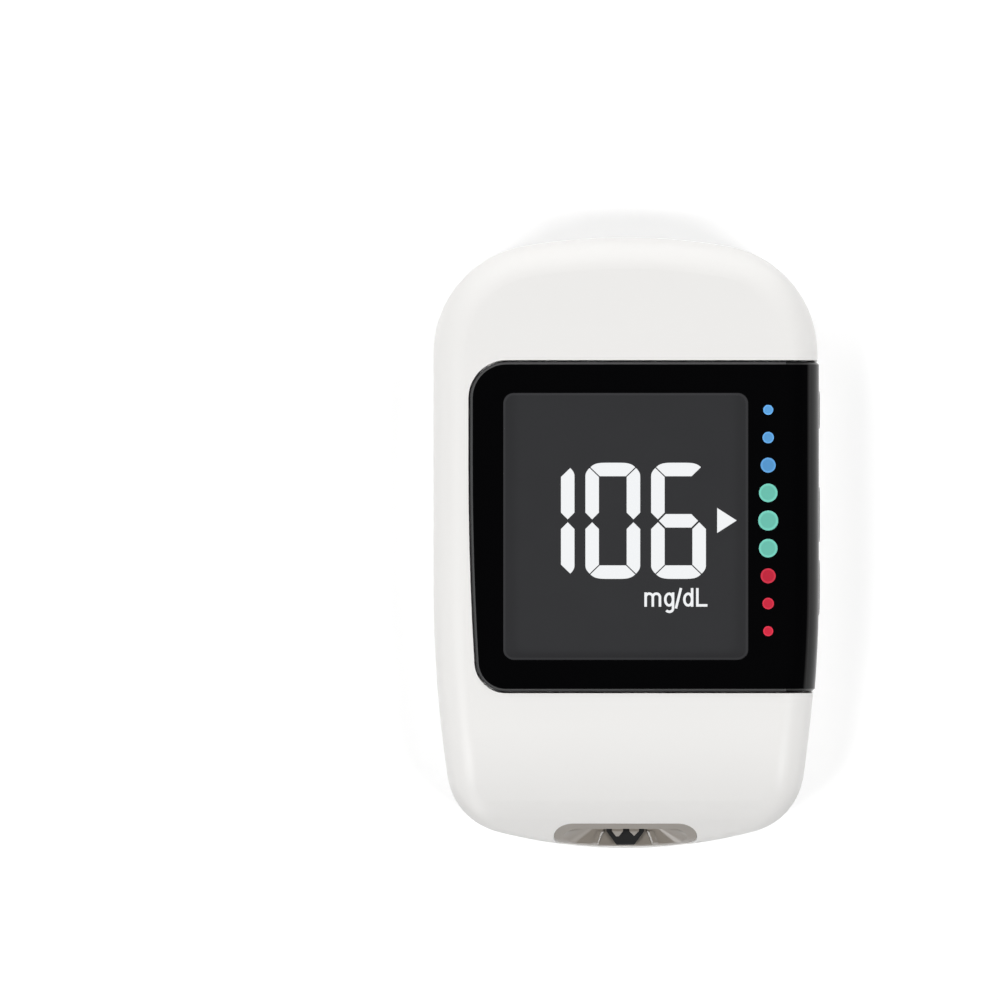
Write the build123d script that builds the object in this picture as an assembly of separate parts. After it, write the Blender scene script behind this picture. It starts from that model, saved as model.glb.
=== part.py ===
from build123d import *
import os
from functools import cache
from math import cos, radians, sin, sqrt, tan

# Pocket blood glucose meter, lying on its back with the display up.
# Millimetres. +X is the side with the keys, +Y the USB end, -Y the test strip end, +Z out of the display.
# Z = 0 is the back face, and X = Y = 0 is the middle of the outline.

# ---- Outline and edges of the case ----
body_length = 77.1
body_width = 48.4
end_radius_usb = 74.2
corner_radius_usb = 13.6
flank_radius = 165.6
flank_start = -5.3
corner_radius_strip = 8.5
end_radius_strip = 62.6
front_edge_radius = 4.0
back_edge_radius = 4.0
slope_length = 14.45
slope_run = 8.3
slope_angle = 15.0
brow_radius = 4.6
port_face_angle = 55.0

# ---- Mouldings ----
wall = 1.5
parting_height = 5.8
lip_height = 0.8
lip_thickness = 0.7
lip_gap = 0.08
seam_depth = 0.25
seam_height = 0.15
running_gap = 0.15
seat_gap = 0.05
rib_thickness = 0.8
weld = 0.1

# ---- Snap hooks between the two mouldings, on both sides ----
hook_below_keys = 8.4
hook_half_width = 2.0
hook_base = 3.4
hook_barb_height = 0.8
hook_gap = 0.15
hook_thickness = 0.8
hook_barb = 0.6

# ---- Stack of layers, from the back to the front ----
cell_lift = 0.5
cell_thickness = 3.2
cell_headroom = 0.3
tray_thickness = 0.8
solder_gap = 0.9
board_thickness = 1.0
lamp_gap = 0.8
backlight_thickness = 1.3
polariser_thickness = 0.15
glass_thickness = 0.9
gasket_thickness = 0.2
ledge_thickness = 1.2
adhesive_thickness = 0.15
cover_thickness = 1.35
cover_proud = 0.2

# ---- Display cover and window ----
cover_margin = 4.4
cover_end_usb = 15.51
cover_end_strip = 19.68
cover_corner_top = 4.8
cover_corner_low = 4.0
cover_taper_start = 10.0
cover_taper_radius = 420.0
cover_gap = 0.2
cover_bevel = 0.35
cover_skirt_rise = 0.7
window_margin_side = 1.3
window_margin_top = 2.0
window_margin_low = 1.9
window_corner = 1.3
window_bevel = 0.1
window_fit = 0.02
ledge_setback = 0.5
adhesive_margin = 1.0
adhesive_bend_margin = 0.4

# ---- Display ----
glass_side = 7.5
glass_end_usb = 17.65
glass_end_strip = 21.95
contact_ledge = 2.0
zebra_width = 1.5
holder_wall = 0.9
holder_gap = 0.2
holder_rest = 1.2
polariser_margin = 0.4
guide_taper = 0.5
zebra_end_margin = 2.0
zebra_setback = 0.2
lamp_size = (1.6, 0.9, 0.8)
lamp_spacing = 9.0
lamp_gap_along = 0.1

# ---- Circuit board ----
board_margin = 4.0
screw_side_usb = 6.7
screw_end_usb = 12.05
screw_side_strip = 7.7
screw_end_strip = 15.05
screw_radius = 0.68
screw_head_radius = 1.6
screw_head_height = 0.8
screw_length = 4.0
boss_radius = 1.9
screw_bite = 0.02
screw_socket = (0.6, 0.45)
hole_clearance = 0.3
notch_clearance = 0.5
processor_size = (6.0, 6.0, 0.9)
processor_side = 11.7
processor_end = 28.05
processor_legs = 8
memory_size = (4.0, 3.6, 0.8)
memory_end = 13.05
memory_legs = 4
leg_height = 0.2
leg_reach = 0.6
radio_shift = 1.5
radio_end = 10.05
radio_size = (9.0, 8.0, 0.4)
radio_can = (5.8, 6.8, 1.0)
radio_can_shift = -1.0
capacitor_size = (1.0, 0.6, 0.6)
capacitor_side = 17.2
capacitor_end = 30.05
capacitor_pitch = (1.9, 2.2)
crystal_side = 12.2
crystal_end = 21.05
crystal_size = (5.0, 2.2, 0.9)
sounder_shift = 3.5
sounder_end = 10.55
sounder_radius = 4.0
sounder_height = 1.5
sounder_hole = (0.8, 0.9)

# ---- Keys on the +X side: name, distance from the cover's USB end, length ----
key_rows = [("power", 6.24, 5.0), ("up", 19.44, 7.2), ("down", 28.64, 7.2)]
key_height = 2.6
key_rise = 1.2
key_proud = 0.1
key_gap = 0.12
key_edge = 0.25
key_flange = 0.4
key_flange_thickness = 0.6
key_travel = 0.35
plunger_radius = 0.6
plunger_gap = 0.1
switch_size = (2.0, 3.6, 2.3)
switch_well = 1.2

# ---- Coin cells, their door and contacts ----
cell_radius = 10.0
cell_spacing = 20.4
cell_middle = 9.0
pocket_gap = 0.3
cell_rim = 0.4
cell_cap_step = 1.2
door_thickness = 1.1
door_sink = 0.15
door_half_width = 20.35
door_corner = 2.0
door_pivot_height = 1.9
door_heel = 1.45
door_arm_width = 0.7
door_arm_radius = 0.85
door_pin_radius = 0.5
door_pin_length = 0.75
door_pin_gap = 0.08
hinge_boss_width = 1.3
hinge_boss_wall = 0.7
latch_half_width = 3.6
latch_height = 2.2
latch_thickness = 0.8
latch_clearance = 0.3
finger_radius = 12.0
finger_depth = 0.9
finger_setback = 1.2
door_grip_half_width = 4.5
door_grip_width = 0.5
door_grip_pitch = 1.4
door_grip_depth = 0.2
contact_thickness = 0.2
contact_width = 3.0
contact_clearance = 0.3
leaf_back = 3.4
leaf_front = -2.6
blade_x = (2.4, 4.8)
blade_y = (-9.0, -6.5)

# ---- Test strip port ----
port_width = 18.0
port_height = 4.78
port_rise = 0.34
strip_rise = 0.7
port_depth = 6.95
throat_depth = 3.3
strip_width = 5.4
strip_slot_height = 0.7
connector_length = 11.6
connector_half_width = 4.6
connector_height = 2.8
connector_gap = 0.2
channel_bend = 2.2
channel_flare = 1.6
channel_depth = 1.6
channel_draft = 14.0
channel_rib_width = 0.4
channel_rib_height = 0.35
port_sink = 0.12
mouth_rim_side = 0.65
mouth_rim_top = 1.0
mouth_rim_low = 0.6
throat_size = (6.4, 1.0)
throat_rise = 0.2
guide_rise = 0.2
guide_height = 0.9
guide_teeth = [(-1.0, 1.4, 0.85), (1.1, 1.2, 0.6)]
nose_gap = 0.3
nose_half_tip = 1.1
nose_setback = 0.45
nose_drop = 0.45
nose_tip_edge = 0.15
strip_contact_x = (-2.2, -1.4, 1.4, 2.2)
strip_contact_y = (3.0, 7.5)
strip_contact_size = (0.12, 0.4)

# ---- Strip ejector ----
eject_travel = 4.0
slider_length = 8.0
slider_half_width = 5.0
slider_thickness = 0.8
slider_behind_port = 8.4
stem_half_width = 1.5
stem_length = 3.0
slider_corner = 1.4
slider_groove_pitch = 1.3
slider_groove_radius = 0.3
bed_thickness = 1.2
carriage_thickness = 1.2
carriage_inset = 1.0
ear_length = 0.6
ear_height = 0.9
lug_half_width = 0.8
lug_length = 1.2
lug_forward = 2.2
lug_gap = 0.2
lug_foot = (2.6, 1.6)
rail_thickness = 0.5
spring_gap = 0.3
spring_stop = 0.8
spring_width = 2.8
spring_wire = 0.35
spring_legs = 5

# ---- USB socket ----
usb_width = 7.5
usb_height = 2.5
usb_depth = 5.0
usb_setback = 0.95
usb_clearance = 0.45
usb_metal = 0.3
tongue_half_width = 1.9
tongue_z = (0.1, 0.7)
tongue_setback = 1.0

# ---- Heights that follow from the stack ----
cell_base = wall + cell_lift
cell_top = cell_base + cell_thickness
tray_base = cell_top + cell_headroom
tray_top = tray_base + tray_thickness
board_base = tray_top + solder_gap
board_top = board_base + board_thickness
backlight_base = board_top + lamp_gap
backlight_top = backlight_base + backlight_thickness
glass_base = backlight_top + polariser_thickness
glass_middle = glass_base + glass_thickness
glass_front = glass_middle + glass_thickness
display_front = glass_front + polariser_thickness
ledge_base = display_front + gasket_thickness
ledge_top = ledge_base + ledge_thickness
cover_base = ledge_top + adhesive_thickness
cover_front = cover_base + cover_thickness
body_height = cover_front - cover_proud

# ---- Depths below the outer skin ----
cover_depth = body_height - cover_base
ledge_depth = body_height - ledge_top
ledge_inner_depth = body_height - ledge_base

# ---- Places measured from the case's flank and from its two ends ----
flank_x = body_width / 2
usb_end = body_length / 2
strip_end = -body_length / 2
cover_top = usb_end - cover_end_usb
cover_low = strip_end + cover_end_strip
glass_half_width = flank_x - glass_side
glass_top = usb_end - glass_end_usb
glass_low = strip_end + glass_end_strip
window_half_width = glass_half_width - window_margin_side
window_top = glass_top - window_margin_top
window_low = glass_low + window_margin_low
screw_x_usb = flank_x - screw_side_usb
screw_x_strip = flank_x - screw_side_strip
screw_places = [(side * screw_x_usb, usb_end - screw_end_usb) for side in (-1, 1)]
screw_places += [(side * screw_x_strip, strip_end + screw_end_strip) for side in (-1, 1)]
processor_place = (processor_side - flank_x, strip_end + processor_end)
memory_place = (0, usb_end - memory_end)
radio_place = (-(screw_x_usb + radio_shift) / 2, usb_end - radio_end)
capacitor_start = (flank_x - capacitor_side, strip_end + capacitor_end)
crystal_place = (crystal_side - flank_x, strip_end + crystal_end)
sounder_place = ((screw_x_usb + sounder_shift) / 2, usb_end - sounder_end)
keys = [(name, cover_top - place, length) for name, place, length in key_rows]
port_back = strip_end + port_depth
slider_middle = port_back + slider_behind_port

# ---- Other places that several pieces share ----
skirt_base = parting_height + lip_height + cover_skirt_rise
key_middle = board_top + key_rise
key_flange_x = flank_x - ledge_inner_depth - running_gap
switch_x = flank_x - board_margin
strip_plane = board_top + strip_rise
cell_places = [-cell_spacing / 2, cell_spacing / 2]
pocket_radius = cell_radius + pocket_gap
tray_radius = pocket_radius + rib_thickness
door_pivot_y = cell_middle - tray_radius + weld
door_end = cell_middle + tray_radius + running_gap
door_inner = door_sink + door_thickness
door_reach = sqrt(door_heel**2 + (door_pivot_height - door_sink) ** 2)
door_trough_y = door_pivot_y - 2 * running_gap
door_arm_reach = sqrt(door_arm_radius**2 + (door_pivot_height - door_inner + weld) ** 2)
tray_half_width = cell_spacing / 2 + tray_radius
slider_back = slider_middle + slider_length / 2
slider_front = slider_middle - slider_length / 2
carriage_base = door_sink + slider_thickness + running_gap + bed_thickness + running_gap
carriage_top = carriage_base + carriage_thickness
carriage_half_width = slider_half_width - carriage_inset
lug_back = slider_middle + lug_forward + lug_length / 2
lug_front = lug_back - lug_length
spring_low_x = carriage_half_width + running_gap + rail_thickness + spring_gap
spring_high_x = spring_low_x + spring_width
spring_front = slider_front - eject_travel + weld
spring_back = slider_back - ear_length
hook_along = [(keys[0][1] - keys[0][2] / 2 + keys[1][1] + keys[1][2] / 2) / 2, keys[2][1] - hook_below_keys]
hook_places = [(side, y) for side in (-1, 1) for y in hook_along]
port_middle = strip_plane + port_rise
port_bend = strip_end + channel_bend
connector_front = port_back + connector_gap
nose_base = board_base + board_thickness / 2


def block(x, y, z):
    """Box between low and high limits along X, Y and Z."""
    limits = (x, y, z)
    size = [high - low for low, high in limits]
    middle = [(high + low) / 2 for low, high in limits]
    return Pos(*middle) * Box(*size)


def post(x, y, z, radius):
    """Upright cylinder between the two heights in z."""
    return Pos(x, y, (z[0] + z[1]) / 2) * Cylinder(radius, z[1] - z[0])


def rod(x, y, z, radius):
    """Cylinder along X between the two limits in x."""
    return Pos((x[0] + x[1]) / 2, y, z) * Rot(0, 90, 0) * Cylinder(radius, x[1] - x[0])


def rounded(x, y, z, radius):
    """Upright plate with rounded corners between low and high limits."""
    face = RectangleRounded(x[1] - x[0], y[1] - y[0], radius)
    return Pos((x[0] + x[1]) / 2, (y[0] + y[1]) / 2, z[0]) * extrude(face, amount=z[1] - z[0])


def slot_along_x(y, z, length, height, x):
    """Round-ended bar along X, with its long side along Y."""
    plane = Plane(origin=(x[0], y, z), x_dir=(0, 1, 0), z_dir=(1, 0, 0))
    return extrude(plane * SlotOverall(length, height), amount=x[1] - x[0])


def slot_along_y(z, length, height, y):
    """Round-ended bar along Y, with its long side along X, centred on X = 0."""
    return extrude(slot_face(y[0], z, length, height), amount=y[1] - y[0])


def slot_face(y, z, length, height):
    """Upright round-ended face at the given Y, facing +Y."""
    plane = Plane(origin=(0, y, z), x_dir=(1, 0, 0), z_dir=(0, 1, 0))
    return plane * SlotOverall(length, height)


def bent_strip(plane, points, thickness, width):
    """Flat strip bent along a path in the given plane, and centred on that plane."""
    profile = plane * trace(Polyline(*points), line_width=thickness)
    return extrude(profile, amount=width / 2, both=True)


def both_sides(shape):
    """The shape and its mirror image across X = 0, as separate solids."""
    return Compound(children=[shape, mirror(shape, about=Plane.YZ)])


# ---- The outer form ----


def circles_meet(centre_a, radius_a, centre_b, radius_b):
    """The right-hand point where two circles cross, seen from the first centre."""
    across = centre_b - centre_a
    along = (radius_a**2 - radius_b**2 + across.length**2) / (2 * across.length)
    aside = sqrt(radius_a**2 - along**2)
    unit = across.normalized()
    return centre_a + unit * along + Vector(unit.Y, -unit.X) * aside


def arc(centre, radius, start, end):
    """The shorter arc about a centre."""
    middle = centre + ((start - centre) + (end - centre)).normalized() * radius
    return ThreePointArc(start, middle, end)


def plan_outline(inset):
    """Outline seen from the front, moved in by inset: tangent arcs, the same about X = 0."""
    half_width = body_width / 2
    end_usb = Vector(0, body_length / 2 - end_radius_usb)
    end_strip = Vector(0, end_radius_strip - body_length / 2)
    flank = Vector(half_width - flank_radius, flank_start)
    corner_x = half_width - corner_radius_usb
    corner_usb = end_usb + Vector(corner_x, sqrt((end_radius_usb - corner_radius_usb) ** 2 - corner_x**2))
    flank_reach = flank_radius - corner_radius_strip
    corner_strip = circles_meet(flank, flank_reach, end_strip, end_radius_strip - corner_radius_strip)
    shoulder = end_usb + (corner_usb - end_usb).normalized() * (end_radius_usb - inset)
    side_top = Vector(half_width - inset, corner_usb.Y)
    side_low = Vector(half_width - inset, flank_start)
    hip = flank + (corner_strip - flank).normalized() * (flank_radius - inset)
    foot = end_strip + (corner_strip - end_strip).normalized() * (end_radius_strip - inset)
    right = [
        arc(corner_usb, corner_radius_usb - inset, shoulder, side_top),
        Line(side_top, side_low),
        arc(flank, flank_radius - inset, side_low, hip),
        arc(corner_strip, corner_radius_strip - inset, hip, foot),
    ]
    left = [mirror(edge, about=Plane.YZ) for edge in right]
    ends = [
        arc(end_usb, end_radius_usb - inset, Vector(-shoulder.X, shoulder.Y), shoulder),
        arc(end_strip, end_radius_strip - inset, Vector(-foot.X, foot.Y), foot),
    ]
    return make_face(right + left + ends)


def side_profile(inset):
    """Profile seen from the side: flat, then a slope arc, a brow arc and the slanted face of the port."""
    slope_direction = Vector(0, -sin(radians(slope_angle)), cos(radians(slope_angle)))
    face_direction = Vector(0, -sin(radians(port_face_angle)), cos(radians(port_face_angle)))
    slope_radius = slope_run / sin(radians(slope_angle))
    slope = Vector(0, strip_end + slope_length, body_height - slope_radius)
    brow = slope + slope_direction * (slope_radius - brow_radius)
    front_end = Vector(0, slope.Y, body_height - inset)
    join = brow + slope_direction * (brow_radius - inset)
    face_top = brow + face_direction * (brow_radius - inset)
    run = face_top.Y - strip_end + wall
    face_low = face_top - Vector(0, run, run * tan(radians(port_face_angle)))
    back_low = Vector(0, face_low.Y, inset)
    far_back = Vector(0, body_length, inset)
    far_front = Vector(0, body_length, body_height - inset)
    edges = [
        arc(slope, slope_radius - inset, front_end, join),
        arc(brow, brow_radius - inset, join, face_top),
        Line(face_top, face_low),
        Line(face_low, back_low),
        Line(back_low, far_back),
        Line(far_back, far_front),
        Line(far_front, front_end),
    ]
    return make_face(edges)


def rim_edges(body, front):
    """Edges around the front or the back of the outer form."""
    rims = body.edges().filter_by(Axis.X, reverse=True).filter_by(Axis.Z, reverse=True)
    return rims.filter_by(lambda edge: (edge.center().Z > body_height / 4) == front)


@cache
def envelope(inset):
    """The case as one rounded solid, with every surface moved in by inset."""
    depth = body_height + 2 * wall
    plan = Pos(0, 0, -wall) * extrude(plan_outline(inset), amount=depth)
    body = plan & extrude(side_profile(inset), amount=body_width, both=True)
    body = fillet(rim_edges(body, True), front_edge_radius - inset)
    return fillet(rim_edges(body, False), back_edge_radius - inset)


def skin(outer, inner):
    """Shell of the outer form between two depths."""
    return envelope(outer) - envelope(inner)


def slab(low, high):
    """Everything between two heights."""
    reach = (-body_length, body_length)
    return block(reach, reach, (low, high))


def seam():
    """Shadow groove that runs round the case where the two mouldings meet."""
    return skin(-weld, seam_depth) & slab(parting_height - seam_height, parting_height + seam_height)


def cover_face(grow):
    """Outline of the display cover's pocket seen from the front: open past the +X flank."""
    left = cover_margin - body_width / 2
    far = body_width
    start = Vector(left, cover_taper_start)
    centre = Vector(left + cover_taper_radius, cover_taper_start)
    drop = cover_taper_start - cover_low
    low_x = centre.X - sqrt(cover_taper_radius**2 - drop**2)
    low = Vector(low_x, cover_low)
    edges = [
        Line((far, cover_top), (left, cover_top)),
        Line((left, cover_top), start),
        arc(centre, cover_taper_radius, start, low),
        Line(low, (far, cover_low)),
        Line((far, cover_low), (far, cover_top)),
    ]
    face = make_face(edges)
    face = fillet(face.vertices().filter_by(lambda v: v.X < 0).sort_by(Axis.Y)[-1], cover_corner_top)
    face = fillet(face.vertices().filter_by(lambda v: v.X < 0).sort_by(Axis.Y)[0], cover_corner_low)
    return offset(face, amount=grow) if grow else face


def cover_prism(grow, low):
    """The cover's outline as an upright prism from a height to above the case."""
    return Pos(0, 0, low) * extrude(cover_face(grow), amount=cover_front + wall - low)


# ---- Openings that cut through several pieces ----


def window_hole(grow, z):
    """Prism of the display window between two heights."""
    x = (-window_half_width - grow, window_half_width + grow)
    y = (window_low - grow, window_top + grow)
    return rounded(x, y, z, window_corner + grow)


def key_holes(grow):
    """The three key openings through the +X side."""
    x = (switch_x, body_width)
    height = key_height + 2 * grow
    return [slot_along_x(y, key_middle, length + 2 * grow, height, x) for _, y, length in keys]


def port_hole(grow):
    """Opening of the test strip port through the strip end."""
    y = (strip_end - wall, port_back + grow)
    return slot_along_y(port_middle, port_width + 2 * grow, port_height + 2 * grow, y)


def usb_hole():
    """Opening round the USB socket through the other end."""
    middle = board_top + usb_height / 2
    plane = Plane(origin=(0, body_length / 2 - 2 * wall, middle), x_dir=(1, 0, 0), z_dir=(0, 1, 0))
    size = (usb_width + 2 * usb_clearance, usb_height + 2 * usb_clearance)
    opening = RectangleRounded(*size, usb_height / 2)
    return extrude(plane * opening, amount=3 * wall)


# ---- Hooks that hold the two mouldings together ----


def hook_zone(side, y, half_width, z):
    """Box over one side of the case at a snap hook."""
    x = sorted((side * body_width / 4, side * body_width))
    return block(x, (y - half_width, y + half_width), z)


def snap_hooks():
    """Hooks of the front housing that reach down inside the rear housing's lip."""
    depth = wall + hook_gap
    tongue = skin(depth, depth + hook_thickness)
    barb = skin(depth - hook_barb, depth + hook_thickness)
    root = skin(wall - lip_gap, depth + hook_thickness)
    root_z = (parting_height + lip_height + lip_gap, key_middle)
    hooks = []
    for side, y in hook_places:
        hooks.append(tongue & hook_zone(side, y, hook_half_width, (hook_base, key_middle)))
        hooks.append(barb & hook_zone(side, y, hook_half_width, (hook_base, hook_base + hook_barb_height)))
        hooks.append(root & hook_zone(side, y, hook_half_width, root_z))
    return hooks


def hook_pockets():
    """Pockets in the rear housing's wall for the barbs."""
    pocket = skin(wall - hook_barb, wall + hook_gap)
    z = (hook_base - hook_gap, hook_base + hook_barb_height + hook_gap)
    return [pocket & hook_zone(side, y, hook_half_width + hook_gap, z) for side, y in hook_places]


# ---- Case ----


def front_housing():
    """White front moulding: shell, sunk seat for the display cover, bosses, hooks and openings."""
    shell = skin(0, wall) & slab(parting_height, 2 * body_height)
    pocket = skin(-2 * cover_proud, ledge_depth) & cover_prism(0, skirt_base)
    seat_base = parting_height + lip_height + lip_gap
    seat = skin(ledge_depth, ledge_inner_depth) & cover_prism(ledge_thickness, seat_base)
    groove = skin(wall - lip_thickness - lip_gap, wall + lip_gap) & slab(parting_height, seat_base)
    housing = shell - pocket + seat - groove
    housing = housing - window_hole(ledge_setback, (ledge_base - 1, cover_front))
    for x, y in screw_places:
        housing += post(x, y, (board_top, body_height - wall / 2), boss_radius)
    housing = housing + snap_hooks()
    for x, y in screw_places:
        housing -= post(x, y, (board_top, board_top + screw_length + 1), screw_radius + screw_bite)
    return housing - key_holes(key_gap) - port_hole(seat_gap) - usb_hole() - seam()


def hinge_trough():
    """Moulded hood of the rear housing over the door's hinge edge."""
    x = (-tray_half_width, tray_half_width)
    y = (door_pivot_y - door_reach - rib_thickness, door_pivot_y + rib_thickness)
    z = (wall / 2, door_pivot_height + door_reach + rib_thickness)
    return block(x, y, z)


def door_sweep():
    """Space that the door's hinge edge turns through."""
    half_width = door_half_width + running_gap
    radius = door_reach + running_gap
    turn = rod((-half_width, half_width), door_pivot_y, door_pivot_height, radius)
    behind = block((-body_width, body_width), (-body_length, door_trough_y), (-wall, body_height))
    return turn & behind


def battery_tray():
    """Walls and roof round the two coin cells, with a flat shelf behind the door."""
    walls = [post(x, cell_middle, (wall / 2, tray_top), tray_radius) for x in cell_places]
    shelf = block(
        (-tray_half_width, tray_half_width),
        (door_pivot_y, door_end + rib_thickness),
        (wall / 2, wall + rib_thickness),
    )
    return walls + [shelf, hinge_trough()]


def door_opening():
    """Everything that the door, its arms and its latch take out of the rear housing."""
    half_width = door_half_width + running_gap
    y = (door_trough_y, door_end + running_gap)
    plate = block((-half_width, half_width), y, (-wall, wall))
    plate = fillet(plate.edges().filter_by(Axis.Z).group_by(Axis.Y)[-1], door_corner + running_gap)
    arm_y = (door_pivot_y - door_arm_reach - running_gap, door_pivot_y + door_arm_radius + running_gap)
    arm_z = (0, door_pivot_height + door_arm_radius + running_gap)
    arm_low = door_half_width - door_arm_width - running_gap
    latch_half = latch_half_width + latch_clearance
    latch_y = (door_end - latch_thickness - latch_clearance, door_end + latch_clearance)
    latch_z = (0, door_inner + latch_height + latch_clearance)
    cuts = [plate, door_sweep(), block((-latch_half, latch_half), latch_y, latch_z)]
    for side in (-1, 1):
        cuts.append(block(sorted((side * arm_low, side * half_width)), arm_y, arm_z))
        pin_x = sorted((side * door_half_width, side * (door_half_width + door_pin_length + running_gap)))
        cuts.append(rod(pin_x, door_pivot_y, door_pivot_height, door_pin_radius + door_pin_gap))
    return cuts


def hinge_bosses():
    """Blocks beside the door's arms that carry its pins."""
    low = door_half_width + running_gap
    reach = door_pin_radius + hinge_boss_wall
    y = (door_pivot_y - reach, door_pivot_y + reach)
    z = (wall / 2, door_pivot_height + reach)
    return [block(sorted((side * low, side * (low + hinge_boss_width))), y, z) for side in (-1, 1)]


def ejector_bed():
    """Thicker floor round the ejector, its two rails and the spring stops."""
    margin = running_gap + rib_thickness
    half_width = slider_half_width + margin
    y = (slider_front - eject_travel - margin, slider_back + margin)
    pieces = [block((-half_width, half_width), y, (wall / 2, carriage_base - running_gap))]
    rail_low = carriage_half_width + running_gap
    for side in (-1, 1):
        rail_x = sorted((side * rail_low, side * (rail_low + rail_thickness)))
        pieces.append(block(rail_x, y, (wall, carriage_top - running_gap)))
        stop_x = sorted((side * spring_low_x, side * spring_high_x))
        stop_z = (wall, carriage_top + ear_height / 2)
        pieces.append(block(stop_x, (spring_front - spring_stop, spring_front), stop_z))
    return pieces


def ejector_slot():
    """Recess for the thumb slider on the back, and the slot its stem runs in."""
    half_width = slider_half_width + running_gap
    y = (slider_front - eject_travel - running_gap, slider_back + running_gap)
    recess_z = (-wall, door_sink + slider_thickness + running_gap)
    recess = block((-half_width, half_width), y, recess_z)
    stem_half = stem_half_width + running_gap
    stem_y = (
        slider_middle - stem_length / 2 - eject_travel - running_gap,
        slider_middle + stem_length / 2 + running_gap,
    )
    stem = block((-stem_half, stem_half), stem_y, (0, carriage_base))
    return [fillet(recess.edges().filter_by(Axis.Z), slider_corner + running_gap), stem]


def rear_housing():
    """White rear moulding: shell with lip, battery tray, door opening and ejector bed."""
    shell = skin(0, wall) & slab(-1, parting_height)
    lip = skin(wall - lip_thickness, wall) & slab(parting_height - lip_height, parting_height + lip_height)
    housing = shell + lip
    inside = envelope(wall / 2)
    added = battery_tray() + hinge_bosses() + ejector_bed()
    housing = housing + [piece & inside for piece in added]
    for x in cell_places:
        housing -= post(x, cell_middle, (0, tray_base), pocket_radius)
    housing = housing - door_opening() - ejector_slot() - hook_pockets()
    housing = housing - contact_windows() - seam()
    scoop = Pos(0, door_end + finger_setback, finger_depth - finger_radius) * Sphere(finger_radius)
    return housing - scoop


def display_cover():
    """Black gloss cover: flat over the display, bent round the +X side to a skirt with the key openings."""
    cover = skin(-cover_proud, cover_depth) & cover_prism(-cover_gap, skirt_base + cover_gap)
    cover = cover - window_hole(0, (0, 2 * body_height)) - key_holes(key_gap)
    perimeter = cover.edges().filter_by(
        lambda edge: abs(edge.center().Z - cover_front) < 1e-3
        and not on_window(edge.center())
        and edge.center().X < flank_x - front_edge_radius - 0.1
    )
    return chamfer(perimeter, cover_bevel)


def on_window(point):
    """Whether a point lies on or inside the window's outline."""
    return abs(point.X) <= window_half_width + 0.1 and window_low - 0.1 <= point.Y <= window_top + 0.1


def display_window():
    """Clear window moulded into the cover, flush with its face."""
    lens = window_hole(-window_fit, (cover_base, cover_front))
    return chamfer(lens.edges().group_by(Axis.Z)[-1], window_bevel)


def cover_adhesive():
    """Die-cut tape frame that holds the cover on its seat."""
    half_width = flank_x - front_edge_radius - adhesive_bend_margin
    sheet = Pos(0, 0, ledge_top) * extrude(cover_face(-adhesive_margin), amount=adhesive_thickness)
    sheet = sheet & block((-body_width, half_width), (-body_length, body_length), (0, 2 * body_height))
    return sheet - window_hole(ledge_setback, (ledge_base, cover_front))


# ---- Display ----


def lcd_gasket():
    """Foam frame between the display and the front housing."""
    x = (-glass_half_width, glass_half_width)
    frame = block(x, (glass_low + contact_ledge, glass_top), (display_front, ledge_base))
    return frame - window_hole(ledge_setback, (0, 2 * body_height))


def lcd_glass():
    """Two glass plates: the front one is longer, and carries the contacts on its back."""
    x = (-glass_half_width, glass_half_width)
    rear = block(x, (glass_low + contact_ledge, glass_top), (glass_base, glass_middle))
    front = block(x, (glass_low, glass_top), (glass_middle, glass_front))
    return Compound(children=[rear, front])


def lcd_polarisers():
    """Polarising films in front of and behind the glass."""
    margin = polariser_margin
    x = (margin - glass_half_width, glass_half_width - margin)
    y = (glass_low + contact_ledge + margin, glass_top - margin)
    rear = block(x, y, (backlight_top, glass_base))
    front = block(x, y, (glass_front, display_front))
    return Compound(children=[rear, front])


def backlight_panel():
    """Light guide behind the display, with a wedge-shaped back."""
    half_width = glass_half_width
    y = (glass_low + contact_ledge + holder_gap, glass_top - lamp_size[1] - 2 * lamp_gap_along)
    panel = block((-half_width, half_width), y, (backlight_base, backlight_top))
    return chamfer(panel.edges().filter_by(Axis.X).group_by(Axis.Z)[0].sort_by(Axis.Y)[0], guide_taper)


def backlight_lamps():
    """Row of lamps that shine into the light guide's edge."""
    y = glass_top - lamp_gap_along - lamp_size[1] / 2
    z = (backlight_base + backlight_top) / 2
    return Compound(children=[Pos(step * lamp_spacing, y, z) * Box(*lamp_size) for step in (-1, 0, 1)])


def zebra_connector():
    """Rubber strip that joins the display's contacts to the board."""
    half_width = glass_half_width - zebra_end_margin
    y = (glass_low + zebra_setback, glass_low + zebra_setback + zebra_width)
    return block((-half_width, half_width), y, (board_top, glass_middle))


def lcd_holder():
    """White frame on the board that carries the light guide, the glass and the rubber strip."""
    gap = holder_gap
    inner_x = glass_half_width + gap
    inner_y = (glass_low - gap, glass_top + gap)
    outer_x = inner_x + holder_wall
    outer_y = (inner_y[0] - holder_wall, inner_y[1] + holder_wall)
    frame = block((-outer_x, outer_x), outer_y, (board_top, glass_front))
    pocket = block((-inner_x, inner_x), inner_y, (backlight_base, glass_front + 1))
    shelf_x = glass_half_width - holder_rest
    shelf_y = (glass_low + contact_ledge + holder_rest, glass_top - holder_rest)
    well = block((-shelf_x, shelf_x), shelf_y, (0, body_height))
    strip_x = glass_half_width - zebra_end_margin + gap
    strip_y = (inner_y[0], glass_low + zebra_setback + zebra_width + gap)
    strip = block((-strip_x, strip_x), strip_y, (0, body_height))
    return frame - pocket - well - strip


# ---- Circuit board ----


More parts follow.
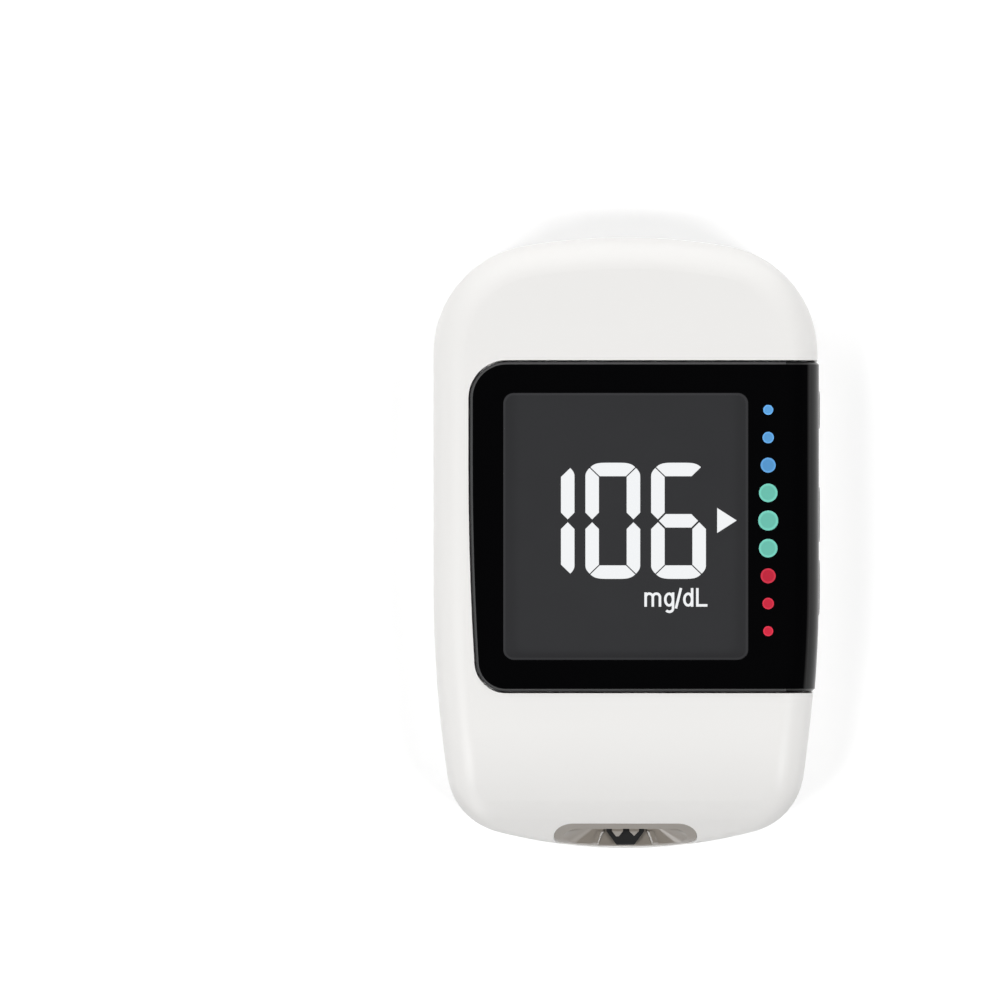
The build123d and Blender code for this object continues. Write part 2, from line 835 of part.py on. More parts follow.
def main_board():
    """Board to the case's outline, notched for the port and slotted for the ejector's lug."""
    board = Pos(0, 0, board_base) * extrude(plan_outline(board_margin), amount=board_thickness)
    notch_half = port_width / 2 + notch_clearance
    notch = block((-notch_half, notch_half), (-body_length, port_back + notch_clearance), (0, body_height))
    gap = 2 * lug_gap
    lug_half = lug_half_width + gap
    lug_slot_y = (lug_front - eject_travel - gap, lug_back + gap)
    board = board - notch - block((-lug_half, lug_half), lug_slot_y, (0, body_height))
    for x, y in screw_places:
        board -= post(x, y, (0, body_height), screw_radius + hole_clearance)
    return board


def board_screws():
    """Pan-head screws through the board into the front housing's bosses."""
    screws = []
    for x, y in screw_places:
        head = post(x, y, (board_base - screw_head_height, board_base), screw_head_radius)
        head = chamfer(head.edges().group_by(Axis.Z)[0], screw_head_height / 2.5)
        shank = post(x, y, (board_base, board_top + screw_length), screw_radius)
        socket_radius, socket_depth = screw_socket
        hexagon = extrude(RegularPolygon(socket_radius, 6), amount=socket_depth)
        socket = Pos(x, y, board_base - screw_head_height) * hexagon
        screws.append(head + shank - socket)
    return Compound(children=screws)


def chip(place, size, legs):
    """Flat chip under the board with gull-wing legs on two sides."""
    x, y = place
    body = Pos(x, y, board_base - size[2] / 2) * Box(*size)
    body = chamfer(body.edges().group_by(Axis.Z)[0], size[2] / 6)
    pitch = size[1] / legs
    z = (board_base - leg_height, board_base)
    for side in (-1, 1):
        leg_x = sorted((x + side * (size[0] / 2 - weld), x + side * (size[0] / 2 + leg_reach)))
        for step in range(legs):
            middle = y - size[1] / 2 + pitch * (step + 0.5)
            body += block(leg_x, (middle - pitch / 4, middle + pitch / 4), z)
    return body


def radio_module():
    """Radio board with its metal can."""
    x, y = radio_place
    carrier = Pos(x, y, board_base - radio_size[2] / 2) * Box(*radio_size)
    can = Pos(x + radio_can_shift, y, board_base - radio_size[2] - radio_can[2] / 2) * Box(*radio_can)
    return carrier + fillet(can.edges().filter_by(Axis.Z), radio_can[2] / 2.5)


def board_capacitors():
    """Small capacitors and resistors in three rows under the board."""
    x, y = capacitor_start
    step_x, step_y = capacitor_pitch
    z = board_base - capacitor_size[2] / 2
    places = [(x + step_x * column, y - step_y * row, z) for column in range(5) for row in range(3)]
    return Compound(children=[Pos(*place) * Box(*capacitor_size) for place in places])


def board_crystal():
    """Clock crystal in its round-ended can."""
    length, width, height = crystal_size
    return Pos(*crystal_place, board_base - height) * extrude(SlotOverall(length, width), amount=height)


def sounder():
    """Round sounder under the board."""
    base = board_base - sounder_height
    disc = post(*sounder_place, (base, board_base), sounder_radius)
    disc = chamfer(disc.edges().group_by(Axis.Z)[0], sounder_height / 5)
    hole_radius, hole_depth = sounder_hole
    return disc - post(*sounder_place, (base, base + hole_depth), hole_radius)


# ---- Keys ----


def key_switches():
    """Side-acting switches along the board's edge."""
    length, width, height = switch_size
    switches = []
    for _, y, _ in keys:
        x = (switch_x - length, switch_x)
        body = block(x, (y - width / 2, y + width / 2), (board_top, board_top + height))
        well = rod((switch_x - switch_well, switch_x), y, key_middle, plunger_radius + plunger_gap)
        switches.append(body - well)
    return Compound(children=switches)


def key_plunger(y):
    """Round plunger that a key pushes into its switch."""
    tip = key_flange_x - key_flange_thickness - seat_gap
    bottom = switch_x - switch_well + key_travel + plunger_gap
    plunger = rod((bottom, tip), y, key_middle, plunger_radius)
    return chamfer(plunger.edges().sort_by(Axis.X)[-1], plunger_radius / 3)


def key(y, length):
    """Round-ended key in the skirt's opening, with a flange that keeps it in the case."""
    inner = key_flange_x - key_flange_thickness
    bar = slot_along_x(y, key_middle, length, key_height, (inner, body_width))
    cap = bar & envelope(-cover_proud - key_proud)
    cap = fillet(cap.faces().sort_by(Axis.X)[-1].edges(), key_edge)
    flange_size = (length + 2 * key_flange, key_height + 2 * key_flange)
    return cap + slot_along_x(y, key_middle, *flange_size, (inner, key_flange_x))


# ---- Coin cells, contacts and door ----


def coin_cell(x):
    """Coin cell: can with a bevelled rim, and the smaller cap towards the board."""
    can = post(x, cell_middle, (cell_base, cell_top - cell_rim), cell_radius)
    can = chamfer(can.edges().group_by(Axis.Z)[0], cell_rim)
    return can + post(x, cell_middle, (cell_base, cell_top), cell_radius - cell_cap_step)


def contact_windows():
    """Windows in the tray's roof for the contacts."""
    cuts = []
    gap = contact_clearance
    z = (tray_base - weld, board_base)
    leaf_half = contact_width / 2 + gap
    for x in cell_places:
        leaf_x = (x + leaf_front - 2 * gap, x + leaf_back + 2 * gap)
        cuts.append(block(leaf_x, (cell_middle - leaf_half, cell_middle + leaf_half), z))
        side = 1 if x > 0 else -1
        leg_x = sorted((side * (blade_x[0] - gap), side * (blade_x[1] + gap)))
        cuts.append(block(leg_x, (cell_middle + blade_y[0] - gap, cell_middle + blade_y[1] + gap), z))
    return cuts


def battery_negative_contacts():
    """Sprung leaves that reach through the roof to each cell's cap."""
    springs = []
    for x in cell_places:
        touch = cell_top + contact_thickness
        path = [
            (x + leaf_back, board_base),
            (x + leaf_back, tray_top),
            (x + leaf_back / 5, touch + seat_gap),
            (x + leaf_front / 3, touch),
            (x + leaf_front, touch + 2 * cell_headroom),
        ]
        leaf = bent_strip(Plane.XZ, path, contact_thickness, contact_width)
        springs.append(Pos(0, cell_middle, 0) * leaf)
    return Compound(children=springs)


def battery_positive_contacts():
    """Curved blades against each cell's rim, with a leg up to the board."""
    blades = []
    for x in cell_places:
        side = 1 if x > 0 else -1
        z = (cell_base + cell_rim, board_base)
        ring = post(x, cell_middle, z, cell_radius + seat_gap + contact_thickness)
        ring -= post(x, cell_middle, z, cell_radius + seat_gap)
        zone = block(sorted(side * edge for edge in blade_x), [cell_middle + edge for edge in blade_y], z)
        blades.append(ring & zone)
    return Compound(children=blades)


def battery_door():
    """Door on the back: rounded hinge edge on two pinned arms, and a sprung latch tongue."""
    inner = door_inner
    x = (-door_half_width, door_half_width)
    plate = block(x, (door_pivot_y - door_reach, door_end), (door_sink, inner))
    turn = rod(x, door_pivot_y, door_pivot_height, door_reach)
    ahead = block(x, (door_pivot_y, door_end), (door_sink, inner))
    ahead = fillet(ahead.edges().filter_by(Axis.Z).group_by(Axis.Y)[-1], door_corner)
    door = (plate & turn) + ahead
    grip_x = (-door_grip_half_width, door_grip_half_width)
    grip_z = (0, door_sink + door_grip_depth)
    grips = [block(grip_x, (y, y + door_grip_width), grip_z) for y in grip_lines()]
    door = door - grips
    latch_x = (-latch_half_width, latch_half_width)
    door += block(latch_x, (door_end - latch_thickness, door_end), (inner - weld, inner + latch_height))
    for side in (-1, 1):
        arm_x = sorted((side * (door_half_width - door_arm_width), side * door_half_width))
        arm = rod(arm_x, door_pivot_y, door_pivot_height, door_arm_radius)
        arm_y = (door_pivot_y - door_arm_radius, door_pivot_y + door_arm_radius)
        arm += block(arm_x, arm_y, (inner - weld, door_pivot_height))
        pin_x = sorted((arm_x[side < 0], side * (door_half_width + door_pin_length)))
        door = door + arm + rod(pin_x, door_pivot_y, door_pivot_height, door_pin_radius)
    return door


def grip_lines():
    """Places along Y of the grooves under a finger at the door's free edge."""
    return [door_end - door_grip_pitch * (step + 1.5) for step in range(4)]


# ---- Test strip port and ejector ----


def funnel(shrink):
    """Hollow of the port, narrowed all round by shrink: from a round-ended mouth to a small throat."""
    angle = radians(port_face_angle)
    rim_height = port_height - mouth_rim_top - mouth_rim_low
    mouth_z = port_middle + (mouth_rim_low - mouth_rim_top) / 2
    outside = envelope(-weld) & block((0, weld), (-body_length, port_back), (mouth_z, mouth_z + weld))
    mouth_y = outside.bounding_box().min.Y
    plane = Plane(origin=(0, mouth_y, mouth_z), x_dir=(1, 0, 0), z_dir=(0, -sin(angle), cos(angle)))
    mouth_width = port_width - 2 * mouth_rim_side
    mouth = plane * SlotOverall(mouth_width - 2 * shrink, rim_height / sin(angle) - 2 * shrink)
    throat_width, throat_height = [size - 2 * shrink for size in throat_size]
    throat = slot_face(port_back - throat_depth, strip_plane + throat_rise, throat_width, throat_height)
    return loft([mouth, throat])


def channel_plan(grow):
    """Outline of the strip's channel seen from the front, widened by grow: it flares towards the strip end."""
    half = strip_width / 2 + grow
    wide = half + channel_flare
    front = strip_end - wall
    points = [(-wide, front), (-half, port_bend), (half, port_bend), (wide, front)]
    return make_face(Polyline(*points, close=True))


def strip_port_insert():
    """Warm grey funnel at the strip end: two scooped cheeks with the strip's channel between them."""
    inside = envelope(port_sink)
    blank = port_hole(0) & inside
    half = strip_width / 2
    guide_top = strip_plane + guide_rise + guide_height
    channel_low = strip_plane - channel_depth
    straight = extrude(channel_plan(0), amount=guide_top - channel_low)
    drafted = extrude(channel_plan(0), amount=channel_depth, taper=-channel_draft)
    channel = Pos(0, 0, channel_low) * (straight + drafted)
    rib_reach = channel_depth * tan(radians(channel_draft)) + channel_rib_width
    ribs = Pos(0, 0, channel_low) * extrude(channel_plan(rib_reach), amount=channel_depth)
    body = (blank - funnel(0)) + (blank & ribs - funnel(channel_rib_height))
    passage_z = (nose_base - running_gap, guide_top)
    passage = block((-half, half), (port_bend - weld, port_back + wall), passage_z)
    body = body - channel - passage
    guide_base = strip_plane + guide_rise
    for x, width, length in guide_teeth:
        points = [(x - width / 2, port_bend), (x + width / 2, port_bend), (x, port_bend - length)]
        tooth = make_face(Polyline(*points, close=True))
        body += Pos(0, 0, guide_base) * extrude(tooth, amount=guide_height) & inside
        rib_x = (x - width / 2, x + width / 2)
        body += block(rib_x, (port_bend, port_back), (guide_base, guide_top + weld))
    return body


def strip_connector():
    """Black connector on the board: slotted body, and a nose that carries the strip in the channel."""
    y = (connector_front, connector_front + connector_length)
    half_width = connector_half_width
    body = block((-half_width, half_width), y, (board_top, board_top + connector_height))
    body = chamfer(body.edges().filter_by(Axis.Y).group_by(Axis.Z)[-1], connector_height / 6)
    slot_z = (strip_plane - strip_slot_height / 2, strip_plane + strip_slot_height / 2)
    slot_half = strip_width / 2 + plunger_gap
    body = body - block((-slot_half, slot_half), (y[0] - wall, lug_back + lug_gap), slot_z)
    lug_half = lug_half_width + lug_gap
    lug_slot_y = (lug_front - eject_travel - lug_gap, lug_back + lug_gap)
    body = body - block((-lug_half, lug_half), lug_slot_y, (0, slot_z[1] + lug_gap))
    tip = strip_end + nose_setback
    half = strip_width / 2 - nose_gap
    left = [(-half, port_back), (-half, port_bend), (-nose_half_tip, tip)]
    right = [(-place_x, place_y) for place_x, place_y in reversed(left)]
    outline = make_face(Polyline(*left, *right, close=True))
    nose_z = (nose_base, strip_plane - nose_drop)
    nose = Pos(0, 0, nose_z[0]) * extrude(outline, amount=nose_z[1] - nose_z[0])
    nose = chamfer(nose.edges().group_by(Axis.Z)[-1].sort_by(Axis.Y)[0], nose_tip_edge)
    neck = block((-half, half), (port_back - weld, y[0] + weld), (board_top, nose_z[1]))
    return body + nose + neck


def strip_contacts():
    """Gold springs that press on the strip, two on each side of the ejector's lug."""
    contacts = []
    thickness, width = strip_contact_size
    front, back = [port_back + place for place in strip_contact_y]
    z = strip_plane + strip_slot_height / 2 - thickness
    path = [(front, z), (front + (back - front) / 4, z - 2 * thickness), (back, z)]
    for x in strip_contact_x:
        contacts.append(Pos(x, 0, 0) * bent_strip(Plane.YZ, path, thickness, width))
    return Compound(children=contacts)


def eject_slider():
    """Thumb slider on the back, with grip ribs and a stem through the floor."""
    x = (-slider_half_width, slider_half_width)
    z = (door_sink, door_sink + slider_thickness)
    pad = block(x, (slider_front, slider_back), z)
    pad = fillet(pad.edges().filter_by(Axis.Z), slider_corner)
    groove_half = slider_half_width - slider_corner
    for step in range(5):
        y = slider_middle + slider_groove_pitch * (step - 2)
        pad -= rod((-groove_half, groove_half), y, door_sink, slider_groove_radius)
    stem_y = (slider_middle - stem_length / 2, slider_middle + stem_length / 2)
    return pad + block((-stem_half_width, stem_half_width), stem_y, (z[1] - weld, carriage_base))


def eject_carriage():
    """Carriage inside the case: plate between the rails, ears for the springs, lug behind the strip."""
    half_width = carriage_half_width
    y = (slider_front, slider_back)
    plate = block((-half_width, half_width), y, (carriage_base, carriage_top))
    ear_y = (spring_back, slider_back)
    ears = block((-spring_high_x, spring_high_x), ear_y, (carriage_top - weld, carriage_top + ear_height))
    for side in (-1, 1):
        pad_x = sorted((side * spring_low_x, side * spring_high_x))
        ears += block(pad_x, ear_y, (carriage_base + running_gap, carriage_top))
    lug_top = strip_plane + strip_slot_height / 2 + lug_gap / 2
    lug = block((-lug_half_width, lug_half_width), (lug_front, lug_back), (carriage_top - weld, lug_top))
    foot_width, foot_height = lug_foot
    foot_box = Box(foot_width, foot_width, foot_height + weld)
    foot = Pos(0, (lug_front + lug_back) / 2, carriage_top + (foot_height - weld) / 2) * foot_box
    return plate + ears + lug + chamfer(foot.edges().group_by(Axis.Z)[-1], foot_height / 4)


def eject_springs():
    """Folded flat springs, one each side, that push the carriage back."""
    bend = (spring_back - spring_front - spring_wire) / (2 * spring_legs)
    low = spring_low_x + bend + spring_wire / 2
    high = spring_high_x - bend - spring_wire / 2
    z = (carriage_base + 2 * running_gap, carriage_top - weld)
    pieces = []
    for step in range(spring_legs + 1):
        y = spring_front + spring_wire / 2 + 2 * bend * step
        pieces.append(block((low, high), (y - spring_wire / 2, y + spring_wire / 2), z))
    for step in range(spring_legs):
        y = spring_front + spring_wire / 2 + bend * (2 * step + 1)
        x = high if step % 2 else low
        turn = post(x, y, z, bend + spring_wire / 2) - post(x, y, z, bend - spring_wire / 2)
        outside = (x, x + body_width) if step % 2 else (x - body_width, x)
        pieces.append(turn & block(outside, (-body_length, body_length), z))
    spring = pieces[0].fuse(*pieces[1:])
    return both_sides(spring)


# ---- USB socket ----


def usb_face(grow, y):
    """The socket's mouth: a flat top and sloping lower corners."""
    half = usb_width / 2 + grow
    top = usb_height / 2 + grow
    shoulder = -usb_height / 12
    foot = half - usb_height * 0.4
    points = [(-half, top), (half, top), (half, shoulder), (foot, -top), (-foot, -top), (-half, shoulder)]
    plane = Plane(origin=(0, y, board_top + usb_height / 2), x_dir=(-1, 0, 0), z_dir=(0, 1, 0))
    return plane * make_face(Polyline(*points, close=True))


def usb_socket():
    """Folded metal shell of the socket, closed at the back."""
    y = body_length / 2 - usb_setback - usb_depth
    shell = extrude(usb_face(0, y), amount=usb_depth)
    return shell - extrude(usb_face(-usb_metal, y + usb_metal), amount=usb_depth)


def usb_tongue():
    """Black tongue with the socket's contacts."""
    y = body_length / 2 - usb_setback - usb_depth + usb_metal
    z = board_top + usb_height / 2
    tongue_y = (y, y + usb_depth - tongue_setback)
    return block((-tongue_half_width, tongue_half_width), tongue_y, [z + edge for edge in tongue_z])


def write(node, shape):
    """One STEP file for one node."""
    export_step(shape, f"parts/{node}.step")


def main():
    os.makedirs("parts", exist_ok=True)
    write("front_housing", front_housing())
    write("rear_housing", rear_housing())
    write("display_cover", display_cover())
    write("display_window", display_window())
    write("cover_adhesive", cover_adhesive())
    write("lcd_gasket", lcd_gasket())
    write("lcd_glass", lcd_glass())
    write("lcd_polarisers", lcd_polarisers())
    write("backlight_panel", backlight_panel())
    write("backlight_lamps", backlight_lamps())
    write("zebra_connector", zebra_connector())
    write("lcd_holder", lcd_holder())
    write("main_board", main_board())
    write("board_screws", board_screws())
    write("processor_chip", chip(processor_place, processor_size, processor_legs))
    write("memory_chip", chip(memory_place, memory_size, memory_legs))
    write("radio_module", radio_module())
    write("board_capacitors", board_capacitors())
    write("board_crystal", board_crystal())
    write("sounder", sounder())
    write("key_switches", key_switches())
    for name, y, length in keys:
        write(f"{name}_button", key(y, length))
        write(f"{name}_plunger", key_plunger(y))
    for name, x in zip(("left", "right"), cell_places):
        write(f"coin_cell_{name}", coin_cell(x))
    write("battery_negative_contacts", battery_negative_contacts())
    write("battery_positive_contacts", battery_positive_contacts())
    write("battery_door", battery_door())
    write("strip_port_insert", strip_port_insert())
    write("strip_connector", strip_connector())
    write("strip_contacts", strip_contacts())
    write("eject_slider", eject_slider())
    write("eject_carriage", eject_carriage())
    write("eject_springs", eject_springs())
    write("usb_socket", usb_socket())
    write("usb_tongue", usb_tongue())


main()
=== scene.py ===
import math

import bpy
import numpy as np
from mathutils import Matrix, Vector


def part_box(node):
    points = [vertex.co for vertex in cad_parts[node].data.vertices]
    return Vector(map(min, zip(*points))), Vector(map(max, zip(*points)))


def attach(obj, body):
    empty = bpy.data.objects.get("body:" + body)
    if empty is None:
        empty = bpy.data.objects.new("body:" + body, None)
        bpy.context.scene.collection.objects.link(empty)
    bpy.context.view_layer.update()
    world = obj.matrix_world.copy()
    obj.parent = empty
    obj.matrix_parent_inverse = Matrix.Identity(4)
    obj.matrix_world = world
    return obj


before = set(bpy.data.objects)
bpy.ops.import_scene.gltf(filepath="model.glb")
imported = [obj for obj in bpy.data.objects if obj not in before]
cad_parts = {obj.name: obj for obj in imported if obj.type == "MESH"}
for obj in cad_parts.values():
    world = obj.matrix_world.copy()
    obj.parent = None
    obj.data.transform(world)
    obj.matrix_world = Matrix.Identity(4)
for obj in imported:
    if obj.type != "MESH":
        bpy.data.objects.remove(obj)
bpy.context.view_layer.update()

bl_info = {
    "name": "Blood glucose meter",
    "version": (1, 0, 0),
    "blender": (4, 5, 0),
    "location": "View3D > Sidebar > Meter",
    "description": "Display, markings, finishes and studio for a pocket blood glucose meter",
    "category": "Object",
}

# Metres. +X is the side with the keys, +Y the USB end, -Y the test strip end, +Z out of the display.

WINDOW_LOW, WINDOW_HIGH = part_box("display_window")
FILM_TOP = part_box("lcd_polarisers")[1].z
COVER_FACE = WINDOW_HIGH.z
COVER_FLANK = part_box("display_cover")[1].x

MM = 0.001

WINDOW_CORNER = 1.3 * MM
SHEET_INSET = 0.2 * MM
BORDER_WIDTH = 0.25 * MM
SHEET_LEVELS = (FILM_TOP - 0.02 * MM, FILM_TOP + 0.01 * MM)
LIT_LEVELS = (FILM_TOP - 0.01 * MM, FILM_TOP + 0.05 * MM)
BORDER_LEVELS = (FILM_TOP - 0.01 * MM, FILM_TOP + 0.03 * MM)
SLEEVE_GAP = 0.1 * MM
SLEEVE_WALL = 0.3 * MM
SLEEVE_LEVELS = (FILM_TOP + 0.01 * MM, WINDOW_LOW.z - 0.02 * MM)

# Where the cover's cut edge gets a painted grey sheen, which stands in for the light its bevel reflects: between two
# depths under its face, and short of where it wraps round the side.
EDGE_DEPTHS = (0.03 * MM, 0.36 * MM)
WRAP_REACH = 4.25 * MM

# Print stands this much proud of its ground, and reaches a little into it. A dot's hub is a share of its radius.
DOT_PROUD, DOT_SUNK = 0.008 * MM, 0.05 * MM
DOT_HUB = 0.05
MARK_PROUD, MARK_SUNK = 0.006 * MM, 0.03 * MM
STAMP_PROUD, STAMP_SUNK = 0.006 * MM, 0.02 * MM

# Height of the unit's capital letter as its centre lines are drawn, in millimetres.
DRAWN_CAPITAL = 2.35

# Segments that each figure lights, by their usual letters: a is the top bar, then clockwise, and g is the middle bar.
LIT_SEGMENTS = {
    "0": "abcdef",
    "1": "bc",
    "2": "abged",
    "3": "abgcd",
    "4": "fgbc",
    "5": "afgcd",
    "6": "afgedc",
    "7": "abc",
    "8": "abcdefg",
    "9": "abcdfg",
}


# ---- What a user may change ----


class MeterDisplaySettings(bpy.types.PropertyGroup):
    reading: bpy.props.StringProperty(name="Reading", description="Figures on the display", default="106")
    figure_height: bpy.props.FloatProperty(
        name="Figure height", description="Height of a figure", default=14.63 * MM, unit="LENGTH"
    )
    figure_width: bpy.props.FloatProperty(
        name="Figure width", description="Width of a figure", default=6.9 * MM, unit="LENGTH"
    )
    figure_pitch: bpy.props.FloatProperty(
        name="Figure pitch", description="Step from one figure to the next", default=8.28 * MM, unit="LENGTH"
    )
    stroke: bpy.props.FloatProperty(
        name="Stroke", description="Width of a segment", default=1.7 * MM, unit="LENGTH"
    )
    segment_gap: bpy.props.FloatProperty(
        name="Segment gap", description="Gap between two segments", default=0.14 * MM, unit="LENGTH"
    )
    last_figure: bpy.props.FloatProperty(
        name="Last figure", description="Place along X of the last figure", default=6.67 * MM, unit="LENGTH"
    )
    reading_place: bpy.props.FloatProperty(
        name="Reading place", description="Place along Y of the reading's middle", default=2.82 * MM, unit="LENGTH"
    )
    unit_height: bpy.props.FloatProperty(
        name="Unit height", description="Height of the unit's capital letter", default=2.35 * MM, unit="LENGTH"
    )
    unit_stroke: bpy.props.FloatProperty(
        name="Unit stroke", description="Width of the strokes of the unit's letters", default=0.32 * MM, unit="LENGTH"
    )
    unit_place: bpy.props.FloatVectorProperty(
        name="Unit place", description="Left end of the unit's base line", default=(2.36 * MM, -8.0 * MM), size=2,
        subtype="XYZ_LENGTH",
    )
    pointer_place: bpy.props.FloatVectorProperty(
        name="Pointer place", description="Tip of the pointer", default=(14.0 * MM, 2.86 * MM), size=2,
        subtype="XYZ_LENGTH",
    )
    pointer_size: bpy.props.FloatVectorProperty(
        name="Pointer size", description="Length and height of the pointer", default=(2.46 * MM, 3.15 * MM), size=2,
        subtype="XYZ_LENGTH",
    )
    lit: bpy.props.FloatVectorProperty(
        name="Lit colour", description="Colour of what is lit on the display", default=(0.93, 0.925, 0.92),
        subtype="COLOR",
    )
    glow: bpy.props.FloatProperty(name="Glow", description="Strength of the backlight", default=1.14)
    dark: bpy.props.FloatVectorProperty(
        name="Dark colour", description="Colour of the display where nothing is lit", default=(0.0328, 0.0322, 0.0335),
        subtype="COLOR",
    )
    leak: bpy.props.FloatProperty(
        name="Leak", description="Strength of the backlight through what isn't lit", default=1.04
    )


class MeterRangeSettings(bpy.types.PropertyGroup):
    column: bpy.props.FloatProperty(
        name="Column", description="Place along X of the range dots", default=17.92 * MM, unit="LENGTH"
    )
    middle: bpy.props.FloatProperty(
        name="Middle", description="Place along Y of the middle dot", default=2.86 * MM, unit="LENGTH"
    )
    pitch: bpy.props.FloatProperty(
        name="Pitch", description="Step from dot to dot", default=3.48 * MM, unit="LENGTH"
    )
    largest: bpy.props.FloatProperty(
        name="Largest", description="Diameter of the middle dot", default=2.52 * MM, unit="LENGTH"
    )
    smallest: bpy.props.FloatProperty(
        name="Smallest", description="Diameter of the end dots", default=1.26 * MM, unit="LENGTH"
    )
    high: bpy.props.FloatVectorProperty(
        name="High", description="Colour of the dots above the range", default=(0.112, 0.36, 0.72), subtype="COLOR"
    )
    within: bpy.props.FloatVectorProperty(
        name="Within", description="Colour of the dots within the range", default=(0.155, 0.545, 0.44),
        subtype="COLOR",
    )
    low: bpy.props.FloatVectorProperty(
        name="Low", description="Colour of the dots below the range", default=(0.62, 0.024, 0.055), subtype="COLOR"
    )


class MeterFinishSettings(bpy.types.PropertyGroup):
    case_white: bpy.props.FloatVectorProperty(
        name="Case", description="Colour of the two mouldings", default=(0.872, 0.863, 0.847), subtype="COLOR"
    )
    cover_black: bpy.props.FloatVectorProperty(
        name="Cover", description="Colour of the gloss cover", default=(0.0015, 0.0015, 0.0018), subtype="COLOR"
    )
    # The cover's edge colour is a painted sheen: grey that stands in for the light reflected by the bevel.
    cover_edge_sheen: bpy.props.FloatVectorProperty(
        name="Cover's edge", description="Colour of the cover's cut edge", default=(0.06, 0.06, 0.062), subtype="COLOR"
    )
    port_grey: bpy.props.FloatVectorProperty(
        name="Port", description="Colour of the strip port and the thumb slider", default=(0.275, 0.246, 0.212),
        subtype="COLOR",
    )
    key_black: bpy.props.FloatVectorProperty(
        name="Keys", description="Colour of the side keys", default=(0.010, 0.010, 0.011), subtype="COLOR"
    )
    key_ink: bpy.props.FloatVectorProperty(
        name="Key marks", description="Colour of the marks on the keys", default=(0.55, 0.55, 0.56), subtype="COLOR"
    )


class MeterStageSettings(bpy.types.PropertyGroup):
    frame_width: bpy.props.FloatProperty(
        name="Frame width", description="Width of what the camera sees", default=125.8 * MM, unit="LENGTH"
    )
    aim: bpy.props.FloatVectorProperty(
        name="Aim", description="Point on the cover's plane in the middle of the frame",
        default=(-15.82 * MM, 5.44 * MM), size=2, subtype="XYZ_LENGTH",
    )
    distance: bpy.props.FloatProperty(
        name="Distance", description="Distance from the camera to the cover", default=2.0, unit="LENGTH"
    )
    key_power: bpy.props.FloatProperty(
        name="Key lamps", description="Power of the two low lamps beyond the USB end", default=4.5, unit="POWER"
    )
    left_power: bpy.props.FloatProperty(
        name="Left lamp", description="Power of the high lamp on the left", default=4.35, unit="POWER"
    )
    right_power: bpy.props.FloatProperty(
        name="Right lamp", description="Power of the high lamp on the right", default=4.2, unit="POWER"
    )
    gleam_power: bpy.props.FloatProperty(
        name="Gleam lamps", description="Power of the two lamps that only show as gleams", default=2.4, unit="POWER"
    )


# ---- Materials ----


def new_material(name, colour, roughness):
    """A material with one Principled shader, and the parts of it that its callers change."""
    material = bpy.data.materials.new(name)
    material.use_nodes = True
    shader = material.node_tree.nodes["Principled BSDF"]
    shader.inputs["Base Color"].default_value = (*colour, 1)
    shader.inputs["Roughness"].default_value = roughness
    return material, material.node_tree, shader


def object_noise(tree, scale, detail):
    """Noise over Object coordinates, with scale in features per metre."""
    place = tree.nodes.new("ShaderNodeTexCoord")
    noise = tree.nodes.new("ShaderNodeTexNoise")
    noise.inputs["Scale"].default_value = scale
    noise.inputs["Detail"].default_value = detail
    tree.links.new(place.outputs["Object"], noise.inputs["Vector"])
    return noise.outputs["Fac"]


def spread(tree, value, low, high, start=0.0, end=1.0):
    """The value from start to end, spread over the range from low to high."""
    ranged = tree.nodes.new("ShaderNodeMapRange")
    ranged.inputs["From Min"].default_value = start
    ranged.inputs["From Max"].default_value = end
    ranged.inputs["To Min"].default_value = low
    ranged.inputs["To Max"].default_value = high
    tree.links.new(value, ranged.inputs["Value"])
    return ranged.outputs["Result"]


def worked(tree, operation, first, second):
    """One step of arithmetic on two values, of which the second may be a plain number."""
    step = tree.nodes.new("ShaderNodeMath")
    step.operation = operation
    tree.links.new(first, step.inputs[0])
    if isinstance(second, bpy.types.NodeSocket):
        tree.links.new(second, step.inputs[1])
    else:
        step.inputs[1].default_value = second
    return step.outputs["Value"]


def axes(tree, vector):
    """The X, Y and Z of a vector."""
    parts = tree.nodes.new("ShaderNodeSeparateXYZ")
    tree.links.new(vector, parts.inputs["Vector"])
    return parts.outputs


def tinted(tree, value, stops):
    """Colour that follows the value through stops of a place and a colour, the first two of which every ramp has."""
    ramp = tree.nodes.new("ShaderNodeValToRGB")
    marks = ramp.color_ramp.elements
    for index, (place, colour) in enumerate(stops):
        mark = marks[index] if index < 2 else marks.new(place)
        mark.position = place
        mark.color = (*colour, 1)
    tree.links.new(value, ramp.inputs["Fac"])
    return ramp.outputs["Color"]


def add_grain(tree, shader, scale, height):
    """Fine spark-eroded grain of a mould as bump."""
    bump = tree.nodes.new("ShaderNodeBump")
    bump.inputs["Distance"].default_value = height
    bump.inputs["Strength"].default_value = 1.0
    tree.links.new(object_noise(tree, scale, 2.0), bump.inputs["Height"])
    tree.links.new(bump.outputs["Normal"], shader.inputs["Normal"])


def moulded(name, colour, roughness, grain=0.0, shine=0.5):
    """Moulded plastic whose gloss varies a little, with a grain where the mould has one."""
    material, tree, shader = new_material(name, colour, roughness)
    shader.inputs["Specular IOR Level"].default_value = shine
    sheen = spread(tree, object_noise(tree, 160, 3.0), roughness - 0.05, roughness + 0.05)
    tree.links.new(sheen, shader.inputs["Roughness"])
    if grain:
        add_grain(tree, shader, 9000, grain)
    return material


def gloss(name, colour):
    """Polished plastic: nearly even, with the faint waviness of a polished mould."""
    material, tree, shader = new_material(name, colour, 0.06)
    shader.inputs["Specular IOR Level"].default_value = 0.25
    tree.links.new(spread(tree, object_noise(tree, 240, 2.0), 0.03, 0.09), shader.inputs["Roughness"])
    return material


